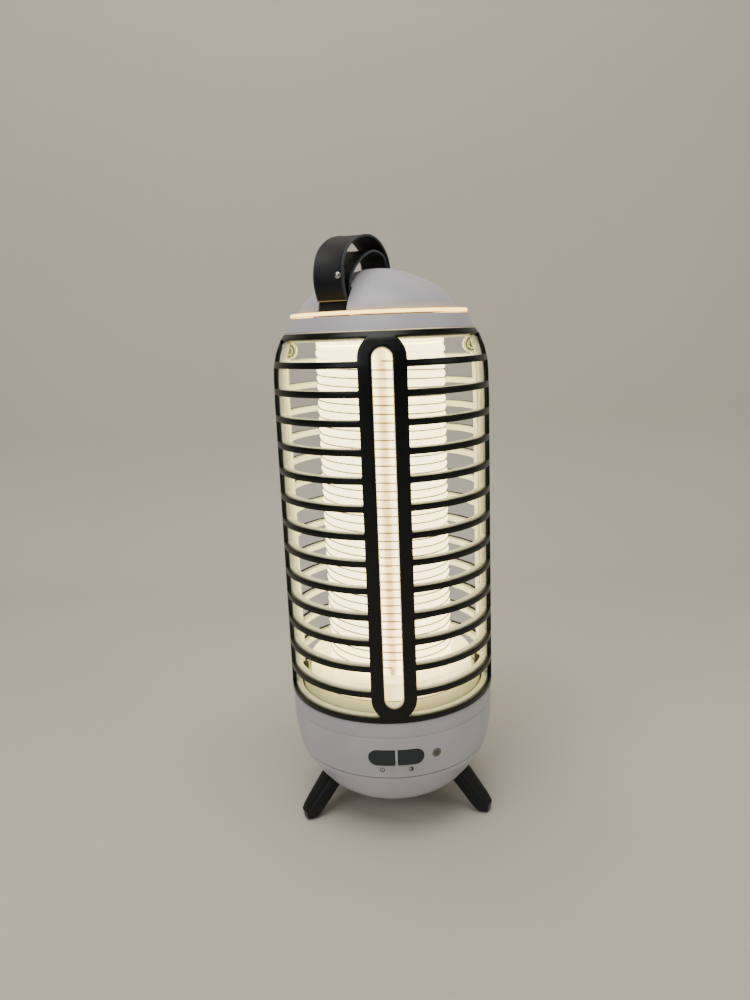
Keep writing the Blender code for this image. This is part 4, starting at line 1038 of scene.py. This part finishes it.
def leg_back(height):
    """How far out the open leg's upper side is at a height, with its clearance."""
    run, drop = LEG_FOOT[0] - LEG_PIVOT[0], LEG_PIVOT[1] - LEG_FOOT[1]
    length = sqrt(run ** 2 + drop ** 2)
    beyond = LEG_RADII[1] + LEG_ROOM
    start = (LEG_PIVOT[0] + beyond * drop / length, LEG_PIVOT[1] + beyond * run / length)
    return start[0] + (start[1] - height) * run / drop


def leg_well(turn):
    """The tapered slot that a leg swings through."""
    outwards, along = radial(turn, 1.0, 0), Vector((cos(turn), sin(turn), 0))
    bm = bmesh.new()
    bmesh.ops.create_cube(bm, size=1.0)
    for vertex in bm.verts:
        far = vertex.co.x > 0
        width = LEG_WIDTHS[0 if far else 1] + 2 * LEG_ROOM
        height = 27 * MM if vertex.co.z > 0 else 4 * MM
        reach = leg_back(height) if far else 5.2 * MM
        vertex.co = outwards * reach + along * width * vertex.co.y + Vector((0, 0, height))
    return bm


def make_bowl(casing):
    outline = smooth_line(millimetres(BOWL), 4)
    inner = [(r, z) for r, z in inset_line(outline, BOWL_WALL) if z > 12.7 * MM]
    inner[0] = (outline[0][0] - BOWL_WALL, outline[0][1])
    floor = 12.7 * MM
    inside = [(0, floor), (inner[-1][0] - 2 * MM, floor)] + list(reversed(inner))
    bowl = spun(inside + outline + [(0, outline[-1][1])], closed=False)
    soften(bowl, 0.3 * MM)
    cutters = [leg_well(turn) for turn in LEGS.values()]
    for k in range(3):
        for radius, top in ((1.7 * MM, 20 * MM), (3.1 * MM, 11.7 * MM)):
            start, end = (radial(tau * k / 3, SCREW_CIRCLE, z) for z in (5 * MM, top))
            cutters.append(cylinder(radius, start, end, 40))
    piece(carved(bowl, cutters), "bowl_moulding", casing, "base", ["bottom_cover"])


def leg_half_width(share):
    """Half the leg's width along its length: an even taper, then a toe that rounds in."""
    half = (LEG_WIDTHS[0] + (LEG_WIDTHS[1] - LEG_WIDTHS[0]) * share) / 2
    toe = max(share - TOE_START, 0.0) / (1.0 - TOE_START)
    return half * sqrt(1.0 - TOE_CUT * toe ** TOE_POWER)


def make_leg(name, turn, material):
    """A flat tapered leg with soft edges, a rounded toe, and a flat where it stands."""
    along = Vector((cos(turn), sin(turn), 0))
    ends = [radial(turn, *LEG_PIVOT), radial(turn, *LEG_FOOT)]
    run = ends[1] - ends[0]
    axis = run.normalized()
    side = along.cross(axis)
    reach = run.length + LEG_RADII[0] + LEG_RADII[1]
    bm = bmesh.new()
    bmesh.ops.create_cone(bm, cap_ends=False, segments=LEG_SIDES, radius1=1.0, radius2=1.0, depth=1.0)
    ridges = [e for e in bm.edges if abs(e.verts[0].co.z - e.verts[1].co.z) > 0.5]
    bmesh.ops.subdivide_edges(bm, edges=ridges, cuts=LEG_SLICES - 1, use_grid_fill=True)
    for vertex in bm.verts:
        share = min(max(vertex.co.z + 0.5, 0.0), 1.0)
        box_x, box_y = (copysign(abs(v) ** LEG_SQUARE, v) for v in vertex.co.xy)
        from_start = share * reach
        thick = LEG_RADII[0] + (LEG_RADII[1] - LEG_RADII[0]) * share
        nearest = min(from_start, reach - from_start)
        if nearest < thick:
            thick = sqrt(max(thick ** 2 - (thick - nearest) ** 2, (LEG_TIP * thick) ** 2))
        middle = ends[0] + axis * (from_start - LEG_RADII[0])
        vertex.co = middle + side * box_x * thick + along * box_y * leg_half_width(share)
    filled(bm)
    bmesh.ops.recalc_face_normals(bm, faces=bm.faces)
    sliced(bm, Vector((0, 0, 0)), Vector((0, 0, -1)), clear=True)
    filled(bm)
    piece(bm, name + "_moulding", material, name, [name])


# ---------------------------------------------------------------- stage, light and camera

def make_stage():
    """A pale floor that turns up into a plain wall behind the lantern."""
    turn_start, turn_radius, wall_top, half_width = 0.36, 0.14, 2.2, 3.0
    bends = [(turn_start + turn_radius * sin(pi / 2 * k / 12), turn_radius * (1 - cos(pi / 2 * k / 12)))
             for k in range(13)]
    bm = bmesh.new()
    profile = [bm.verts.new((-half_width, y, z)) for y, z in [(-3.0, 0.0)] + bends
               + [(turn_start + turn_radius, wall_top)]]
    edges = [bm.edges.new(pair) for pair in zip(profile, profile[1:])]
    new = bmesh.ops.extrude_edge_only(bm, edges=edges)["geom"]
    moved = [g for g in new if isinstance(g, bmesh.types.BMVert)]
    bmesh.ops.translate(bm, vec=(2 * half_width, 0, 0), verts=moved)
    mesh = bpy.data.meshes.new("stage")
    bm.to_mesh(mesh)
    bm.free()
    mesh.shade_smooth()
    mesh.materials.append(stage_paper())
    linked("stage", mesh)


def area_light(name, place, target, size, watts, colour):
    light = bpy.data.lights.new(name, "AREA")
    light.size = size
    light.energy = watts
    light.color = linear(colour)[:3]
    obj = linked(name, light)
    obj.location = place
    obj.rotation_euler = (Vector(target) - Vector(place)).to_track_quat("-Z", "Y").to_euler()


def make_lights():
    middle = (0, 0, 0.13)
    area_light("soft_overhead", (-0.1, -0.25, 1.3), middle, 0.9, 11.5, "FFFAF2")
    area_light("soft_front_left", (-0.9, -1.2, 0.9), middle, 0.9, 5.5, "F6F8FF")
    area_light("soft_right", (1.2, -0.5, 0.7), middle, 0.8, 2.4, "FFF8F0")
    world = bpy.data.worlds.new("soft_surroundings")
    world.use_nodes = True
    sky = world.node_tree.nodes["Background"]
    sky.inputs["Color"].default_value = linear("DCDDD8")
    sky.inputs["Strength"].default_value = 0.14
    bpy.context.scene.world = world


def make_camera():
    data = bpy.data.cameras.new("camera")
    data.lens = LENS
    camera = linked("camera", data)
    turn = Matrix.Rotation(pi / 2 - CAMERA_DOWN, 4, "X") @ Matrix.Rotation(CAMERA_ROLL, 4, "Z")
    camera.matrix_world = Matrix.Translation(CAMERA_PLACE) @ turn
    bpy.context.scene.camera = camera


def dress_nodes(finishes):
    """Gives every CAD node its own finish, from its slot in the record."""
    made = {}
    for part in frame["record"]["subparts"]:
        slot = part["material_slot"]
        if slot not in made:
            made[slot] = finishes[slot]()
        obj = frame["nodes"][part["node"]]
        obj.data.materials.clear()
        obj.data.materials.append(made[slot])


def shared(material):
    """A finish that is already made, where one is expected to be made."""
    return lambda: material


casing_plastic = casing_abs()
clip_black = clip_plastic()
steel_bright = plated_steel()
leg_nylon = leg_plastic()
make_cages()
make_dome(casing_plastic)
make_strap()
make_rivet(steel_bright)
make_head_rings(casing_plastic)
make_core()
make_base_shell(casing_plastic)
make_buttons()
make_sensor()
make_signs()
make_bowl(casing_plastic)
for leg_name, leg_turn in LEGS.items():
    make_leg(leg_name, leg_turn, leg_nylon)
dress_nodes({
    "casing": shared(casing_plastic), "cage_black": cage_abs, "liner": liner_plastic,
    "light_ring": glowing_ring, "core": glowing_column, "leds": lamp_chips, "tray": tray_plastic,
    "wire": drawn_wire, "hardware": shared(steel_bright), "webbing": webbing,
    "black_plastic": shared(clip_black),
    "button_rubber": button_rubber, "leg_plastic": shared(leg_nylon), "sensor": smoked_lens,
    "board": circuit_board, "inner_plastic": inner_plastic,
    "cell_wrap": lambda: shrink_wrap("cell_shrink_film", "2A4C8F", "1E3A74", 6.0),
    "transformer": taped_winding,
    "capacitor": lambda: shrink_wrap("capacitor_sleeve", "1C2448", "141A38", 3.0),
})
make_stage()
make_lights()
make_camera()
